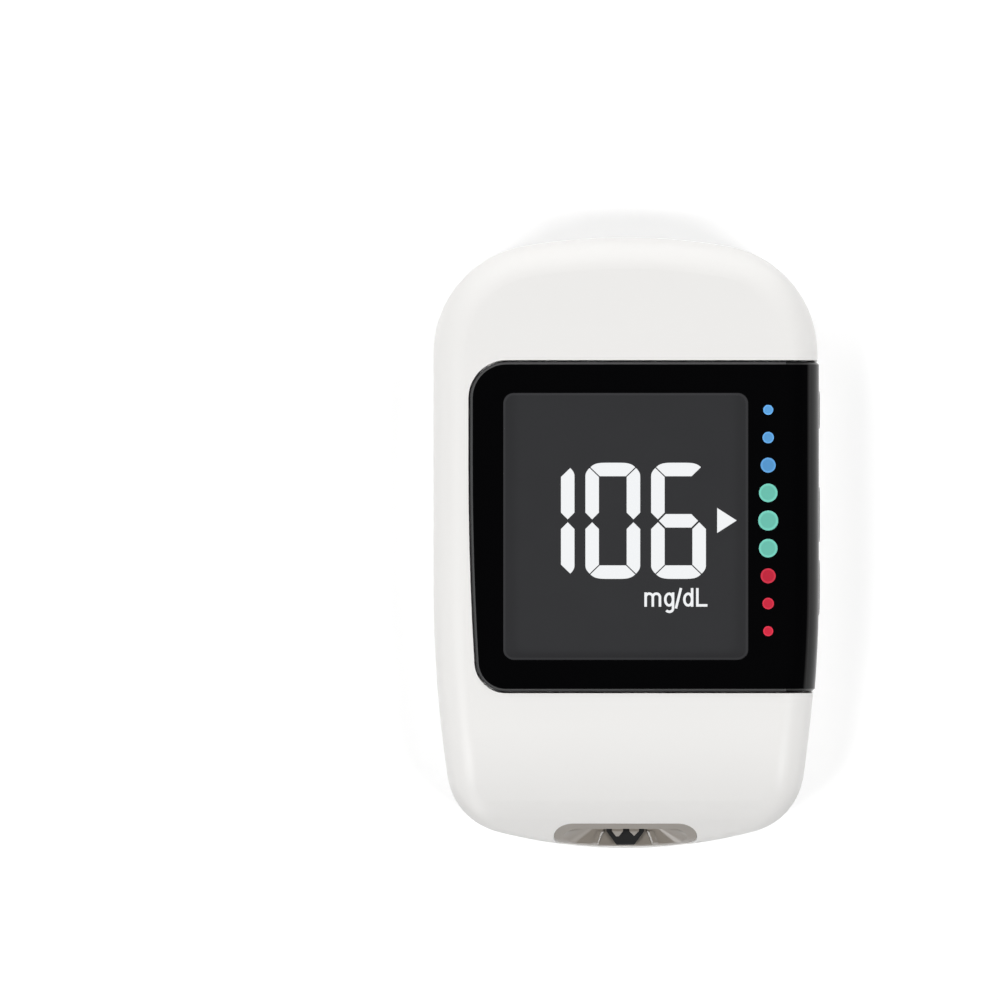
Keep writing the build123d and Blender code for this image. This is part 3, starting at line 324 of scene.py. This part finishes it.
def metal(name, colour, roughness, stretch=(1, 1, 1)):
    """Plated metal with fine lines where it is drawn or brushed."""
    material, tree, shader = new_material(name, colour, roughness)
    shader.inputs["Metallic"].default_value = 1.0
    place = tree.nodes.new("ShaderNodeTexCoord")
    lines = tree.nodes.new("ShaderNodeMapping")
    lines.inputs["Scale"].default_value = stretch
    noise = tree.nodes.new("ShaderNodeTexNoise")
    noise.inputs["Scale"].default_value = 1500
    noise.inputs["Detail"].default_value = 3.0
    tree.links.new(place.outputs["Object"], lines.inputs["Vector"])
    tree.links.new(lines.outputs["Vector"], noise.inputs["Vector"])
    tree.links.new(spread(tree, noise.outputs["Fac"], roughness - 0.1, roughness + 0.12), shader.inputs["Roughness"])
    return material


def clear_lens(name):
    """Clear hard-coated plastic: lets the display through, and its outer faces mirror by their angle."""
    material = bpy.data.materials.new(name)
    material.use_nodes = True
    tree = material.node_tree
    tree.nodes.clear()
    through = tree.nodes.new("ShaderNodeBsdfTransparent")
    through.inputs["Color"].default_value = (0.93, 0.94, 0.95, 1)
    mirror = tree.nodes.new("ShaderNodeBsdfGlossy")
    mirror.inputs["Roughness"].default_value = 0.04
    angle = tree.nodes.new("ShaderNodeFresnel")
    angle.inputs["IOR"].default_value = 1.45
    side = tree.nodes.new("ShaderNodeNewGeometry")
    outside = worked(tree, "MULTIPLY", angle.outputs["Fac"], spread(tree, side.outputs["Backfacing"], 1, 0))
    mixed = tree.nodes.new("ShaderNodeMixShader")
    out = tree.nodes.new("ShaderNodeOutputMaterial")
    tree.links.new(outside, mixed.inputs["Fac"])
    tree.links.new(through.outputs["BSDF"], mixed.inputs[1])
    tree.links.new(mirror.outputs["BSDF"], mixed.inputs[2])
    tree.links.new(mixed.outputs["Shader"], out.inputs["Surface"])
    return material


def lit(name, colour, light, glow):
    """Film of the display that the backlight shines through, with its slightly uneven surface."""
    material, tree, shader = new_material(name, colour, 0.4)
    shader.inputs["Specular IOR Level"].default_value = 0.2
    tree.links.new(spread(tree, object_noise(tree, 160, 3.0), 0.35, 0.45), shader.inputs["Roughness"])
    shader.inputs["Emission Color"].default_value = (*light, 1)
    shader.inputs["Emission Strength"].default_value = glow
    return material


def printed_dot(name, colour):
    """Printed dot with a slightly paler rim: the U of its map runs from the middle to the edge."""
    material, tree, shader = new_material(name, colour, 0.25)
    pale = [min(channel * 1.22 + 0.01, 1) for channel in colour]
    place = tree.nodes.new("ShaderNodeUVMap")
    place.uv_map = "across"
    rim = tinted(tree, axes(tree, place.outputs["UV"])["X"], ((0.72, colour), (0.82, pale)))
    tree.links.new(rim, shader.inputs["Base Color"])
    return material


def finish(node, material):
    """Gives one CAD node its finish."""
    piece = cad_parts[node]
    piece.data.materials.clear()
    piece.data.materials.append(material)


# ---- New surfaces ----


def new_piece(name, vertices, faces, material, slot, body="case"):
    """A mesh piece from arrays of vertices and faces, riding on one body."""
    mesh = bpy.data.meshes.new(name)
    mesh.from_pydata(vertices.tolist(), [], faces)
    mesh.validate()
    mesh.update()
    piece = bpy.data.objects.new(name, mesh)
    bpy.context.scene.collection.objects.link(piece)
    mesh.materials.append(material)
    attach(piece, body)
    return piece


def plate(outline, low, high):
    """Flat plate: the outline's points, counter-clockwise, at a low and a high level, with a wall between them."""
    count = len(outline)
    bottom = np.column_stack([outline, np.full(count, low)])
    top = np.column_stack([outline, np.full(count, high)])
    index = np.arange(count)
    after = (index + 1) % count
    walls = np.column_stack([index, after, after + count, index + count]).tolist()
    return np.vstack([bottom, top]), [index[::-1].tolist(), (index + count).tolist()] + walls


def joined(shapes):
    """Several vertex arrays and face lists as one."""
    vertices, faces, start = [], [], 0
    for points, polygons in shapes:
        vertices.append(points)
        faces += [[start + corner for corner in polygon] for polygon in polygons]
        start += len(points)
    return np.vstack(vertices), faces


def ring(centre, radius, count=48):
    """Circle: centre plus radius times (cos t, sin t), with t in equal steps."""
    t = np.arange(count) * 2 * np.pi / count
    return np.column_stack([centre[0] + radius * np.cos(t), centre[1] + radius * np.sin(t)])


def window_outline(inset, radius=WINDOW_CORNER, steps=8):
    """The window's rectangle moved in by inset, with quarter circles at its corners, counter-clockwise."""
    low, high = WINDOW_LOW, WINDOW_HIGH
    t = np.linspace(0, np.pi / 2, steps)
    turn = np.column_stack([np.cos(t), np.sin(t)]) * (radius - inset)
    x = (high.x - radius, low.x + radius, low.x + radius, high.x - radius)
    y = (high.y - radius, high.y - radius, low.y + radius, low.y + radius)
    corners = []
    for quarter in range(4):
        c, s = np.cos(quarter * np.pi / 2), np.sin(quarter * np.pi / 2)
        corners.append(turn @ np.array([[c, s], [-s, c]]) + (x[quarter], y[quarter]))
    return np.vstack(corners)


def band(outer, inner, low, high, closed=True):
    """Flat frame between two outlines of as many points, from a low to a high level, with two ends where it is open."""
    count = len(outer)
    index = np.arange(count if closed else count - 1)
    after = (index + 1) % count
    edges = ((inner, low), (inner, high), (outer, high), (outer, low))
    levels = [np.column_stack([points, np.full(count, level)]) for points, level in edges]
    faces = []
    for a, b in ((0, 1), (1, 2), (2, 3), (3, 0)):
        faces += np.column_stack([after + count * a, index + count * a, index + count * b, after + count * b]).tolist()
    if not closed:
        end = np.arange(4) * count
        faces += [end[::-1].tolist(), (end + count - 1).tolist()]
    return np.vstack(levels), faces


# ---- Display ----


def figure_segments(width, height, stroke, gap):
    """Outlines of the seven segments of one figure about its middle.

    The right upper upright is worked out once and mirrored to the other three. The figure's outer corner is rounded:
    along a bar the edge falls with the fifth power of the distance from the middle, and along an upright it moves in
    with the square of the distance past the start of the rounding. A bar and an upright meet on the line from the inner
    corner to the middle of the rounding, and each stays half a gap away from it. An upright's point stays a little more
    than a gap away from the middle line."""
    half_width, half_height = width / 2, height / 2
    half_gap, tip_gap = gap / 2, gap * 1.3
    rounding_in, rounding_down, rounding_length = stroke * 0.34, stroke * 0.36, stroke * 0.62
    inner_x, inner_y = half_width - stroke, half_height - stroke
    outer = np.array([half_width - rounding_in, half_height - rounding_down])
    mitre = outer - (inner_x, inner_y)
    along = mitre / np.hypot(*mitre)
    aside = np.array([along[1], -along[0]]) * half_gap
    upright_end = inner_y + aside[1] - aside[0] * along[1] / along[0]
    t = np.linspace(0, 1, 7)[:, None]
    start, end = np.array([half_width, outer[1] - rounding_length]), outer + aside
    rounding = start + (end - start) * np.hstack([t**2, t])
    upright = np.vstack(
        [
            (half_width - stroke / 2, tip_gap),
            (half_width, stroke / 2 + tip_gap),
            rounding,
            (inner_x, upright_end),
            (inner_x, stroke / 2 + tip_gap),
        ]
    )
    bar_inner = inner_x - aside[0] + aside[1] * along[0] / along[1]
    bar_end = outer - aside
    outer_x = np.linspace(-1, 1, 21) * bar_end[0]
    outer_y = half_height - (half_height - bar_end[1]) * np.abs(outer_x / bar_end[0]) ** 5
    top = np.vstack([[(-bar_inner, inner_y), (bar_inner, inner_y)], np.column_stack([outer_x, outer_y])[::-1]])
    bar_half = half_width - stroke / 2 - gap
    middle = np.array(
        [
            (-bar_half, 0),
            (-bar_half + stroke / 2, -stroke / 2),
            (bar_half - stroke / 2, -stroke / 2),
            (bar_half, 0),
            (bar_half - stroke / 2, stroke / 2),
            (-bar_half + stroke / 2, stroke / 2),
        ]
    )
    turned = (-1, 1)
    return {
        "a": top,
        "b": upright,
        "c": (upright * (1, -1))[::-1],
        "d": (top * (1, -1))[::-1],
        "e": upright * (-1, -1),
        "f": (upright * turned)[::-1],
        "g": middle,
    }


def arc(x, y, across, up, start, end):
    """Points of an ellipse about (x, y) with two half axes, from one angle in degrees to another."""
    t = np.radians(np.linspace(start, end, 25))
    return np.column_stack([x + across * np.cos(t), y + up * np.sin(t)])


def unit_lines():
    """Centre lines of the strokes of mg/dL without its bowls, in millimetres, from the start of the base line."""
    lines = [
        [(0.17, 0), (0.17, 1.8)],
        np.vstack([arc(0.62, 1.19, 0.45, 0.45, 180, 0), [(1.07, 0)]]),
        np.vstack([arc(1.52, 1.19, 0.45, 0.45, 180, 0), [(1.97, 0)]]),
        np.vstack([[(3.62, 1.8)], arc(3.16, -0.2, 0.46, 0.44, 0, -145)]),
        [(3.98, -0.22), (4.62, 2.35)],
        [(6.02, 0), (6.02, 2.35)],
        [(6.68, 0), (6.68, 2.35)],
        [(6.68, 0.165), (7.95, 0.165)],
    ]
    return [np.array(line, float) for line in lines]


class METER_OT_display(bpy.types.Operator):
    """Lit reading, unit and pointer on the display's film, and the film's dark finish"""

    bl_idname = "meter.display"
    bl_label = "Display"

    def execute(self, context):
        s = context.scene.meter_display
        film = [channel * 0.1 for channel in s.dark]
        white = lit("display_white", film, s.lit, s.glow)
        dark = lit("display_film", film, s.dark, s.leak)
        finish("lcd_polarisers", dark)
        new_piece("display_sheet", *plate(window_outline(SHEET_INSET), *SHEET_LEVELS), dark, "film")
        outlines = figure_segments(s.figure_width, s.figure_height, s.stroke, s.segment_gap)
        for place, figure in enumerate(s.reading):
            x = s.last_figure - s.figure_pitch * (len(s.reading) - 1 - place)
            shift = np.array([x, s.reading_place])
            shapes = [plate(outlines[letter] + shift, *LIT_LEVELS) for letter in LIT_SEGMENTS[figure]]
            new_piece(f"figure_{place + 1}", *joined(shapes), white, "film")
        length, height = s.pointer_size
        tip_x, tip_y = s.pointer_place
        pointer = np.array([(tip_x, tip_y), (tip_x - length, tip_y + height / 2), (tip_x - length, tip_y - height / 2)])
        new_piece("range_pointer", *plate(pointer, *LIT_LEVELS), white, "film")
        self.add_unit(s, white)
        self.add_border(lit("display_border", film, [channel * 1.35 for channel in s.dark], s.leak))
        finish("lcd_glass", moulded("display_glass", (0.02, 0.021, 0.023), 0.1))
        finish("lcd_gasket", moulded("foam", (0.004, 0.004, 0.004), 0.9))
        finish("zebra_connector", self.striped_rubber())
        finish("lcd_holder", moulded("holder_white", (0.75, 0.75, 0.74), 0.45))
        finish("backlight_panel", moulded("light_guide", (0.8, 0.81, 0.82), 0.12))
        finish("backlight_lamps", moulded("lamp_body", (0.85, 0.8, 0.5), 0.3))
        return {"FINISHED"}

    def add_border(self, pale):
        """Narrow border along the window's outline, a little paler than the film: rounded rectangles at its outer and
        inner edge.
        """
        frame_shape = band(window_outline(0), window_outline(BORDER_WIDTH), *BORDER_LEVELS)
        new_piece("display_border", *frame_shape, pale, "film")

    def add_unit(self, s, white):
        """The unit as round-shouldered letters: strokes of even width along centre lines, and elliptic bowls."""
        scale = s.unit_height / DRAWN_CAPITAL
        half = s.unit_stroke / 2 / scale
        shapes = []
        for line in unit_lines():
            way = np.gradient(line, axis=0)
            aside = np.column_stack([way[:, 1], -way[:, 0]]) / np.hypot(*way.T)[:, None] * half
            shapes.append((line + aside, line - aside, False))
        for centre in (3.13, 5.53):
            bowls = [arc(centre, 0.9, 0.49 + side, 0.735 + side, 0, 360)[:-1] for side in (half, -half)]
            shapes.append((*bowls, True))
        place = np.array(s.unit_place)
        letters = [
            band(place + outer * scale, place + inner * scale, *LIT_LEVELS, closed) for outer, inner, closed in shapes
        ]
        new_piece("unit_lettering", *joined(letters), white, "film")

    def striped_rubber(self):
        """Rubber in thin dark and pale layers across its length."""
        material, tree, shader = new_material("striped_rubber", (0.1, 0.1, 0.11), 0.7)
        place = tree.nodes.new("ShaderNodeTexCoord")
        stripes = tree.nodes.new("ShaderNodeTexWave")
        stripes.inputs["Scale"].default_value = 1400
        tree.links.new(place.outputs["Object"], stripes.inputs["Vector"])
        layers = ((0.0, (0.02, 0.02, 0.02)), (1.0, (0.35, 0.35, 0.36)))
        tree.links.new(tinted(tree, stripes.outputs["Fac"], layers), shader.inputs["Base Color"])
        return material


class METER_OT_cover(bpy.types.Operator):
    """Gloss cover, clear window, and the black sleeve between the window and the display"""

    bl_idname = "meter.cover"
    bl_label = "Cover and window"

    def execute(self, context):
        finish("display_cover", self.gloss_with_edge_sheen(context.scene.meter_finish))
        finish("display_window", clear_lens("window_clear"))
        finish("cover_adhesive", moulded("tape_black", (0.01, 0.01, 0.01), 0.8))
        matt = moulded("sleeve_black", (0.004, 0.004, 0.004), 0.8)
        new_piece("window_sleeve", *self.sleeve(), matt, "tape")
        return {"FINISHED"}

    def gloss_with_edge_sheen(self, s):
        """Gloss black with a painted grey sheen on the cut edge, which stands in for the light that the bevel reflects.
        """
        material = gloss("cover_black", s.cover_black)
        tree = material.node_tree
        place = axes(tree, tree.nodes.new("ShaderNodeTexCoord").outputs["Object"])
        # Painted sheen: this mask greys the bevel's base colour in place of the light it would reflect.
        under = worked(tree, "LESS_THAN", place["Z"], COVER_FACE - EDGE_DEPTHS[0])
        above = worked(tree, "GREATER_THAN", place["Z"], COVER_FACE - EDGE_DEPTHS[1])
        inward = worked(tree, "LESS_THAN", place["X"], COVER_FLANK - WRAP_REACH)
        edge = worked(tree, "MULTIPLY", worked(tree, "MULTIPLY", under, above), inward)
        tint = tree.nodes.new("ShaderNodeMix")
        tint.data_type = "RGBA"
        tint.inputs["A"].default_value = (*s.cover_black, 1)
        tint.inputs["B"].default_value = (*s.cover_edge_sheen, 1)
        tree.links.new(edge, tint.inputs["Factor"])
        tree.links.new(tint.outputs["Result"], tree.nodes["Principled BSDF"].inputs["Base Color"])
        return material

    def sleeve(self):
        """Frame round the window from the display up to the window's back: its outline moved out twice."""
        return band(window_outline(-SLEEVE_GAP - SLEEVE_WALL), window_outline(-SLEEVE_GAP), *SLEEVE_LEVELS)


class METER_OT_range_dots(bpy.types.Operator):
    """Nine printed dots beside the window, from low to high"""

    bl_idname = "meter.range_dots"
    bl_label = "Range dots"

    def execute(self, context):
        s = context.scene.meter_range
        for step in range(-4, 5):
            ink = s.within if abs(step) < 2 else s.high if step > 0 else s.low
            fullness = 1.0 if abs(step) < 2 else 0.68 + 0.1 * abs(step)
            share = (1 + math.cos(math.pi * min(abs(step), 4) / 4)) / 2
            diameter = s.smallest + (s.largest - s.smallest) * share
            vertices, faces, across = self.dot((s.column, s.middle + s.pitch * step), diameter / 2)
            printed = printed_dot(f"ink_{step + 5}", [channel * fullness for channel in ink])
            piece = new_piece(f"range_dot_{step + 5}", vertices, faces, printed, "black_cover")
            layer = piece.data.uv_layers.new(name="across")
            corners = np.empty(len(piece.data.loops), int)
            piece.data.loops.foreach_get("vertex_index", corners)
            layer.data.foreach_set("uv", np.column_stack([across[corners], np.zeros(len(corners))]).ravel())
        return {"FINISHED"}

    def dot(self, centre, radius):
        """Thin disc: rings at the hub's share and all of the radius on its top, and a short wall; U is the share."""
        top, low = COVER_FACE + DOT_PROUD, COVER_FACE - DOT_SUNK
        inner, outer = ring(centre, radius * DOT_HUB), ring(centre, radius)
        count = len(outer)
        levels = [np.column_stack([p, np.full(count, z)]) for p, z in ((inner, top), (outer, top), (outer, low))]
        index = np.arange(count)
        after = (index + 1) % count
        faces = [index.tolist()]
        faces += np.column_stack([index + count, after + count, after, index]).tolist()
        faces += np.column_stack([index + 2 * count, after + 2 * count, after + count, index + count]).tolist()
        faces.append((index[::-1] + 2 * count).tolist())
        across = np.repeat([DOT_HUB, 1.0, 1.0], count)
        return np.vstack(levels), faces, across


# ---- Case, port and inner pieces ----


class METER_OT_case(bpy.types.Operator):
    """White finish of the two mouldings and the battery door"""

    bl_idname = "meter.case"
    bl_label = "Case"

    def execute(self, context):
        colour = context.scene.meter_finish.case_white
        white = moulded("case_white", colour, 0.4, 0.004 * MM, 0.35)
        finish("front_housing", white)
        finish("rear_housing", white)
        finish("battery_door", moulded("door_white", colour, 0.4, 0.006 * MM))
        return {"FINISHED"}


class METER_OT_port(bpy.types.Operator):
    """Strip port, its connector and the ejector"""

    bl_idname = "meter.port"
    bl_label = "Strip port"

    def execute(self, context):
        grey = context.scene.meter_finish.port_grey
        finish("strip_port_insert", moulded("port_grey", grey, 0.16, 0, 0.9))
        finish("eject_slider", moulded("slider_grey", grey, 0.42, 0.008 * MM))
        finish("strip_connector", moulded("connector_black", (0.004, 0.004, 0.0045), 0.5, 0, 0.3))
        finish("strip_contacts", metal("contact_gold", (0.83, 0.62, 0.25), 0.25))
        finish("eject_carriage", moulded("carriage_white", (0.72, 0.72, 0.70), 0.45))
        return {"FINISHED"}


class METER_OT_keys(bpy.types.Operator):
    """Side keys with their plungers and switches"""

    bl_idname = "meter.keys"
    bl_label = "Keys"

    def execute(self, context):
        black = moulded("key_black", context.scene.meter_finish.key_black, 0.3, 0.004 * MM)
        red = moulded("plunger_red", (0.5, 0.05, 0.04), 0.4)
        for name in ("power", "up", "down"):
            finish(f"{name}_button", black)
            finish(f"{name}_plunger", red)
        finish("key_switches", moulded("switch_black", (0.03, 0.03, 0.03), 0.5))
        ink = moulded("key_ink", context.scene.meter_finish.key_ink, 0.4)
        self.add_mark("power_mark", "power_button", "power_key", [self.power_ring(), self.power_bar()], ink)
        self.add_mark("up_mark", "up_button", "up_key", [self.arrow(1)], ink)
        self.add_mark("down_mark", "down_button", "down_key", [self.arrow(-1)], ink)
        return {"FINISHED"}

    def add_mark(self, name, key, body, outlines, ink):
        """Printed mark on a key's face: flat plates about its middle, turned to face +X."""
        low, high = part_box(key)
        middle = (low + high) / 2
        vertices, faces = joined([plate(outline, -MARK_SUNK, MARK_PROUD) for outline in outlines])
        placed = np.column_stack([high.x + vertices[:, 2], middle.y + vertices[:, 0], middle.z + vertices[:, 1]])
        new_piece(name, placed, faces, ink, "key_black", body)

    def power_ring(self):
        """Open ring: two arcs of 300 degrees about the middle, with radii 0.68 mm and 0.5 mm."""
        t = np.radians(np.linspace(30, 330, 41))
        turn = np.column_stack([np.cos(t), np.sin(t)])
        return np.vstack([turn * 0.68 * MM, turn[::-1] * 0.5 * MM])

    def power_bar(self):
        """Short bar in the ring's gap, towards the USB end."""
        return np.array([(0.25, -0.09), (0.85, -0.09), (0.85, 0.09), (0.25, 0.09)]) * MM

    def arrow(self, way):
        """Triangle that points along Y, to the USB end for 1 and to the strip end for -1."""
        points = np.array([(0.55, 0.0), (-0.4, 0.62), (-0.4, -0.62)]) * MM
        return points if way > 0 else points * (-1, -1)


class METER_OT_power(bpy.types.Operator):
    """Coin cells and their contacts"""

    bl_idname = "meter.power"
    bl_label = "Cells"

    def execute(self, context):
        steel = metal("cell_nickel", (0.66, 0.66, 0.65), 0.3, (1, 14, 1))
        stamp = metal("cell_stamp", (0.3, 0.3, 0.3), 0.5)
        for side in ("left", "right"):
            finish(f"coin_cell_{side}", steel)
            low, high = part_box(f"coin_cell_{side}")
            cross = self.cross((low + high) / 2, 1.6 * MM, 0.25 * MM)
            new_piece(f"cell_mark_{side}", *plate(cross, low.z - STAMP_PROUD, low.z + STAMP_SUNK), stamp, "cell_steel")
        spring = metal("spring_nickel", (0.68, 0.66, 0.6), 0.3)
        for node in ("battery_negative_contacts", "battery_positive_contacts", "eject_springs"):
            finish(node, spring)
        return {"FINISHED"}

    def cross(self, centre, reach, half):
        """Plus sign: one arm's three corners turned four times by a quarter."""
        arm = np.array([(half, half), (half, reach), (-half, reach)])
        turns = [np.array([(c, s), (-s, c)]) for c, s in ((1, 0), (0, 1), (-1, 0), (0, -1))]
        return np.vstack([arm @ turn for turn in turns]) + (centre.x, centre.y)


class METER_OT_board(bpy.types.Operator):
    """Circuit board, its parts and the USB socket"""

    bl_idname = "meter.board"
    bl_label = "Board"

    def execute(self, context):
        finish("main_board", self.solder_mask())
        steel = metal("plated_steel", (0.6, 0.6, 0.6), 0.32)
        finish("board_screws", steel)
        finish("usb_socket", steel)
        chip = moulded("epoxy_black", (0.015, 0.015, 0.016), 0.5, 0.01 * MM)
        for node in ("processor_chip", "memory_chip", "sounder", "usb_tongue"):
            finish(node, chip)
        tin = metal("tinned_steel", (0.66, 0.66, 0.66), 0.28, (1, 9, 1))
        finish("radio_module", tin)
        finish("board_crystal", tin)
        finish("board_capacitors", moulded("ceramic_tan", (0.45, 0.36, 0.26), 0.35))
        return {"FINISHED"}

    def solder_mask(self):
        """Green mask with slightly paler lines where copper runs under it."""
        material, tree, shader = new_material("solder_mask", (0.02, 0.16, 0.06), 0.35)
        place = tree.nodes.new("ShaderNodeTexCoord")
        runs = tree.nodes.new("ShaderNodeTexBrick")
        runs.inputs["Scale"].default_value = 420
        runs.inputs["Mortar Size"].default_value = 0.06
        runs.inputs["Color1"].default_value = (0.014, 0.13, 0.045, 1)
        runs.inputs["Color2"].default_value = (0.018, 0.15, 0.055, 1)
        runs.inputs["Mortar"].default_value = (0.04, 0.24, 0.10, 1)
        tree.links.new(place.outputs["Object"], runs.inputs["Vector"])
        tree.links.new(runs.outputs["Color"], shader.inputs["Base Color"])
        return material


# ---- Stage ----


class METER_OT_stage(bpy.types.Operator):
    """White floor, soft lamps, world and camera"""

    bl_idname = "meter.stage"
    bl_label = "Stage"

    def execute(self, context):
        self.add_floor()
        self.add_world(context.scene)
        s = context.scene.meter_stage
        for name, azimuth, elevation, size, power, lights, gleams in (
            ("key_lamp_left", 130, 15, 0.35, s.key_power, True, False),
            ("key_lamp_right", 50, 15, 0.35, s.key_power, True, False),
            ("side_lamp_left", 210, 56, 0.24, s.left_power, True, True),
            ("side_lamp_right", 328, 56, 0.24, s.right_power, True, True),
            ("gleam_lamp_left", 240, 20, 0.5, s.gleam_power, False, True),
            ("gleam_lamp_right", 300, 20, 0.5, s.gleam_power / 2, False, True),
        ):
            self.add_lamp(name, azimuth, elevation, size, power, lights, gleams)
        self.add_camera(context.scene, s)
        context.scene.view_settings.view_transform = "Standard"
        return {"FINISHED"}

    def add_floor(self):
        """Large white sheet, lifted to full white for the camera and in mirrors, so that it keeps a faint shadow.

        Past the lamps' reach, from 0.15 m to 0.5 m off the middle, the lift grows to all of the white."""
        half, low = 10.0, -0.02 * MM
        corners = np.array([(-half, -half, low), (half, -half, low), (half, half, low), (-half, half, low)])
        mesh = bpy.data.meshes.new("floor")
        mesh.from_pydata(corners.tolist(), [], [[0, 1, 2, 3]])
        material = bpy.data.materials.new("floor_white")
        material.use_nodes = True
        tree = material.node_tree
        tree.nodes.clear()
        sheet = tree.nodes.new("ShaderNodeBsdfDiffuse")
        sheet.inputs["Color"].default_value = (0.58, 0.58, 0.58, 1)
        glow = tree.nodes.new("ShaderNodeEmission")
        place = tree.nodes.new("ShaderNodeTexCoord")
        away = tree.nodes.new("ShaderNodeVectorMath")
        away.operation = "LENGTH"
        both = tree.nodes.new("ShaderNodeAddShader")
        out = tree.nodes.new("ShaderNodeOutputMaterial")
        tree.links.new(place.outputs["Object"], away.inputs[0])
        lift = spread(tree, away.outputs["Value"], 0.57, 1.0, 0.15, 0.5)
        tree.links.new(worked(tree, "MULTIPLY", self.seen(tree), lift), glow.inputs["Strength"])
        tree.links.new(sheet.outputs["BSDF"], both.inputs[0])
        tree.links.new(glow.outputs["Emission"], both.inputs[1])
        tree.links.new(both.outputs["Shader"], out.inputs["Surface"])
        mesh.materials.append(material)
        floor = bpy.data.objects.new("floor", mesh)
        bpy.context.scene.collection.objects.link(floor)

    def seen(self, tree):
        """1 for a ray of the camera, or one that a mirror or a clear piece sends on, and 0 for a lighting ray."""
        path = tree.nodes.new("ShaderNodeLightPath")
        total = path.outputs["Is Camera Ray"]
        for kind in ("Is Glossy Ray", "Is Transmission Ray"):
            total = worked(tree, "MAXIMUM", total, path.outputs[kind])
        return total

    def add_world(self, scene):
        """Pale near the horizon, dark overhead and dim towards +X, as in a white tent with two black flags.

        Behind the object it is plain white, and so is a strip above the horizon in mirrors."""
        world = bpy.data.worlds.new("studio")
        scene.world = world
        world.use_nodes = True
        tree = world.node_tree
        tree.nodes.clear()
        way = axes(tree, tree.nodes.new("ShaderNodeTexCoord").outputs["Generated"])
        camera_ray = tree.nodes.new("ShaderNodeLightPath").outputs["Is Camera Ray"]
        background = tree.nodes.new("ShaderNodeBackground")
        glow = tree.nodes.new("ShaderNodeBackground")
        glow.inputs["Color"].default_value = (1, 1, 1, 1)
        choice = tree.nodes.new("ShaderNodeMixShader")
        out = tree.nodes.new("ShaderNodeOutputWorld")
        tent = tinted(tree, way["Z"], ((0.0, (0.50,) * 3), (0.3, (0.14,) * 3), (0.88, (0.025,) * 3)))
        tree.links.new(tent, background.inputs["Color"])
        tree.links.new(spread(tree, way["X"], 1.0, 0.15, 0.1, 0.6), background.inputs["Strength"])
        strip = worked(tree, "MULTIPLY", spread(tree, way["Z"], 1.0, 0.0, 0.05, 0.2), self.seen(tree))
        tree.links.new(worked(tree, "MAXIMUM", strip, camera_ray), choice.inputs["Fac"])
        tree.links.new(background.outputs["Background"], choice.inputs[1])
        tree.links.new(glow.outputs["Background"], choice.inputs[2])
        tree.links.new(choice.outputs["Shader"], out.inputs["Surface"])

    def add_lamp(self, name, azimuth, elevation, size, power, lights, gleams):
        """Square soft lamp on a dome of 1 m, at angles in degrees from +X and from the floor, that faces the middle.

        It may light surfaces, show in polished ones, or do both."""
        azimuth, elevation = math.radians(azimuth), math.radians(elevation)
        level = math.cos(elevation)
        place = Vector((level * math.cos(azimuth), level * math.sin(azimuth), math.sin(elevation)))
        lamp = bpy.data.lights.new(name, "AREA")
        lamp.size = size
        lamp.energy = power
        holder = bpy.data.objects.new(name, lamp)
        holder.location = place
        holder.visible_diffuse = lights
        holder.visible_glossy = gleams
        holder.rotation_euler = (-place).to_track_quat("-Z", "Y").to_euler()
        bpy.context.scene.collection.objects.link(holder)

    def add_camera(self, scene, s):
        """Camera straight above, whose lens fits the frame's width at the cover's distance."""
        camera = bpy.data.cameras.new("camera")
        camera.sensor_width = 36.0
        camera.lens = camera.sensor_width * s.distance / s.frame_width
        camera.clip_end = 10.0
        holder = bpy.data.objects.new("camera", camera)
        holder.location = (s.aim[0], s.aim[1], COVER_FACE + s.distance)
        scene.collection.objects.link(holder)
        scene.camera = holder


class METER_PT_sidebar(bpy.types.Panel):
    """Everything that the meter's pieces are made with"""

    bl_label = "Blood glucose meter"
    bl_idname = "METER_PT_sidebar"
    bl_space_type = "VIEW_3D"
    bl_region_type = "UI"
    bl_category = "Meter"

    def draw(self, context):
        for group in SETTINGS:
            settings = getattr(context.scene, group)
            for name in settings.__annotations__:
                self.layout.prop(settings, name)
        for operator in OPERATORS:
            self.layout.operator(operator.bl_idname)


SETTINGS = {
    "meter_display": MeterDisplaySettings,
    "meter_range": MeterRangeSettings,
    "meter_finish": MeterFinishSettings,
    "meter_stage": MeterStageSettings,
}
OPERATORS = (
    METER_OT_case,
    METER_OT_cover,
    METER_OT_display,
    METER_OT_range_dots,
    METER_OT_port,
    METER_OT_keys,
    METER_OT_power,
    METER_OT_board,
    METER_OT_stage,
)


def register():
    for settings in SETTINGS.values():
        bpy.utils.register_class(settings)
    for operator in OPERATORS:
        bpy.utils.register_class(operator)
    bpy.utils.register_class(METER_PT_sidebar)
    for name, settings in SETTINGS.items():
        setattr(bpy.types.Scene, name, bpy.props.PointerProperty(type=settings))


def unregister():
    for name in SETTINGS:
        delattr(bpy.types.Scene, name)
    bpy.utils.unregister_class(METER_PT_sidebar)
    for operator in reversed(OPERATORS):
        bpy.utils.unregister_class(operator)
    for settings in reversed(SETTINGS.values()):
        bpy.utils.unregister_class(settings)


def main():
    register()
    bpy.ops.meter.case()
    bpy.ops.meter.cover()
    bpy.ops.meter.display()
    bpy.ops.meter.range_dots()
    bpy.ops.meter.port()
    bpy.ops.meter.keys()
    bpy.ops.meter.power()
    bpy.ops.meter.board()
    bpy.ops.meter.stage()


if __name__ == "__main__":
    main()
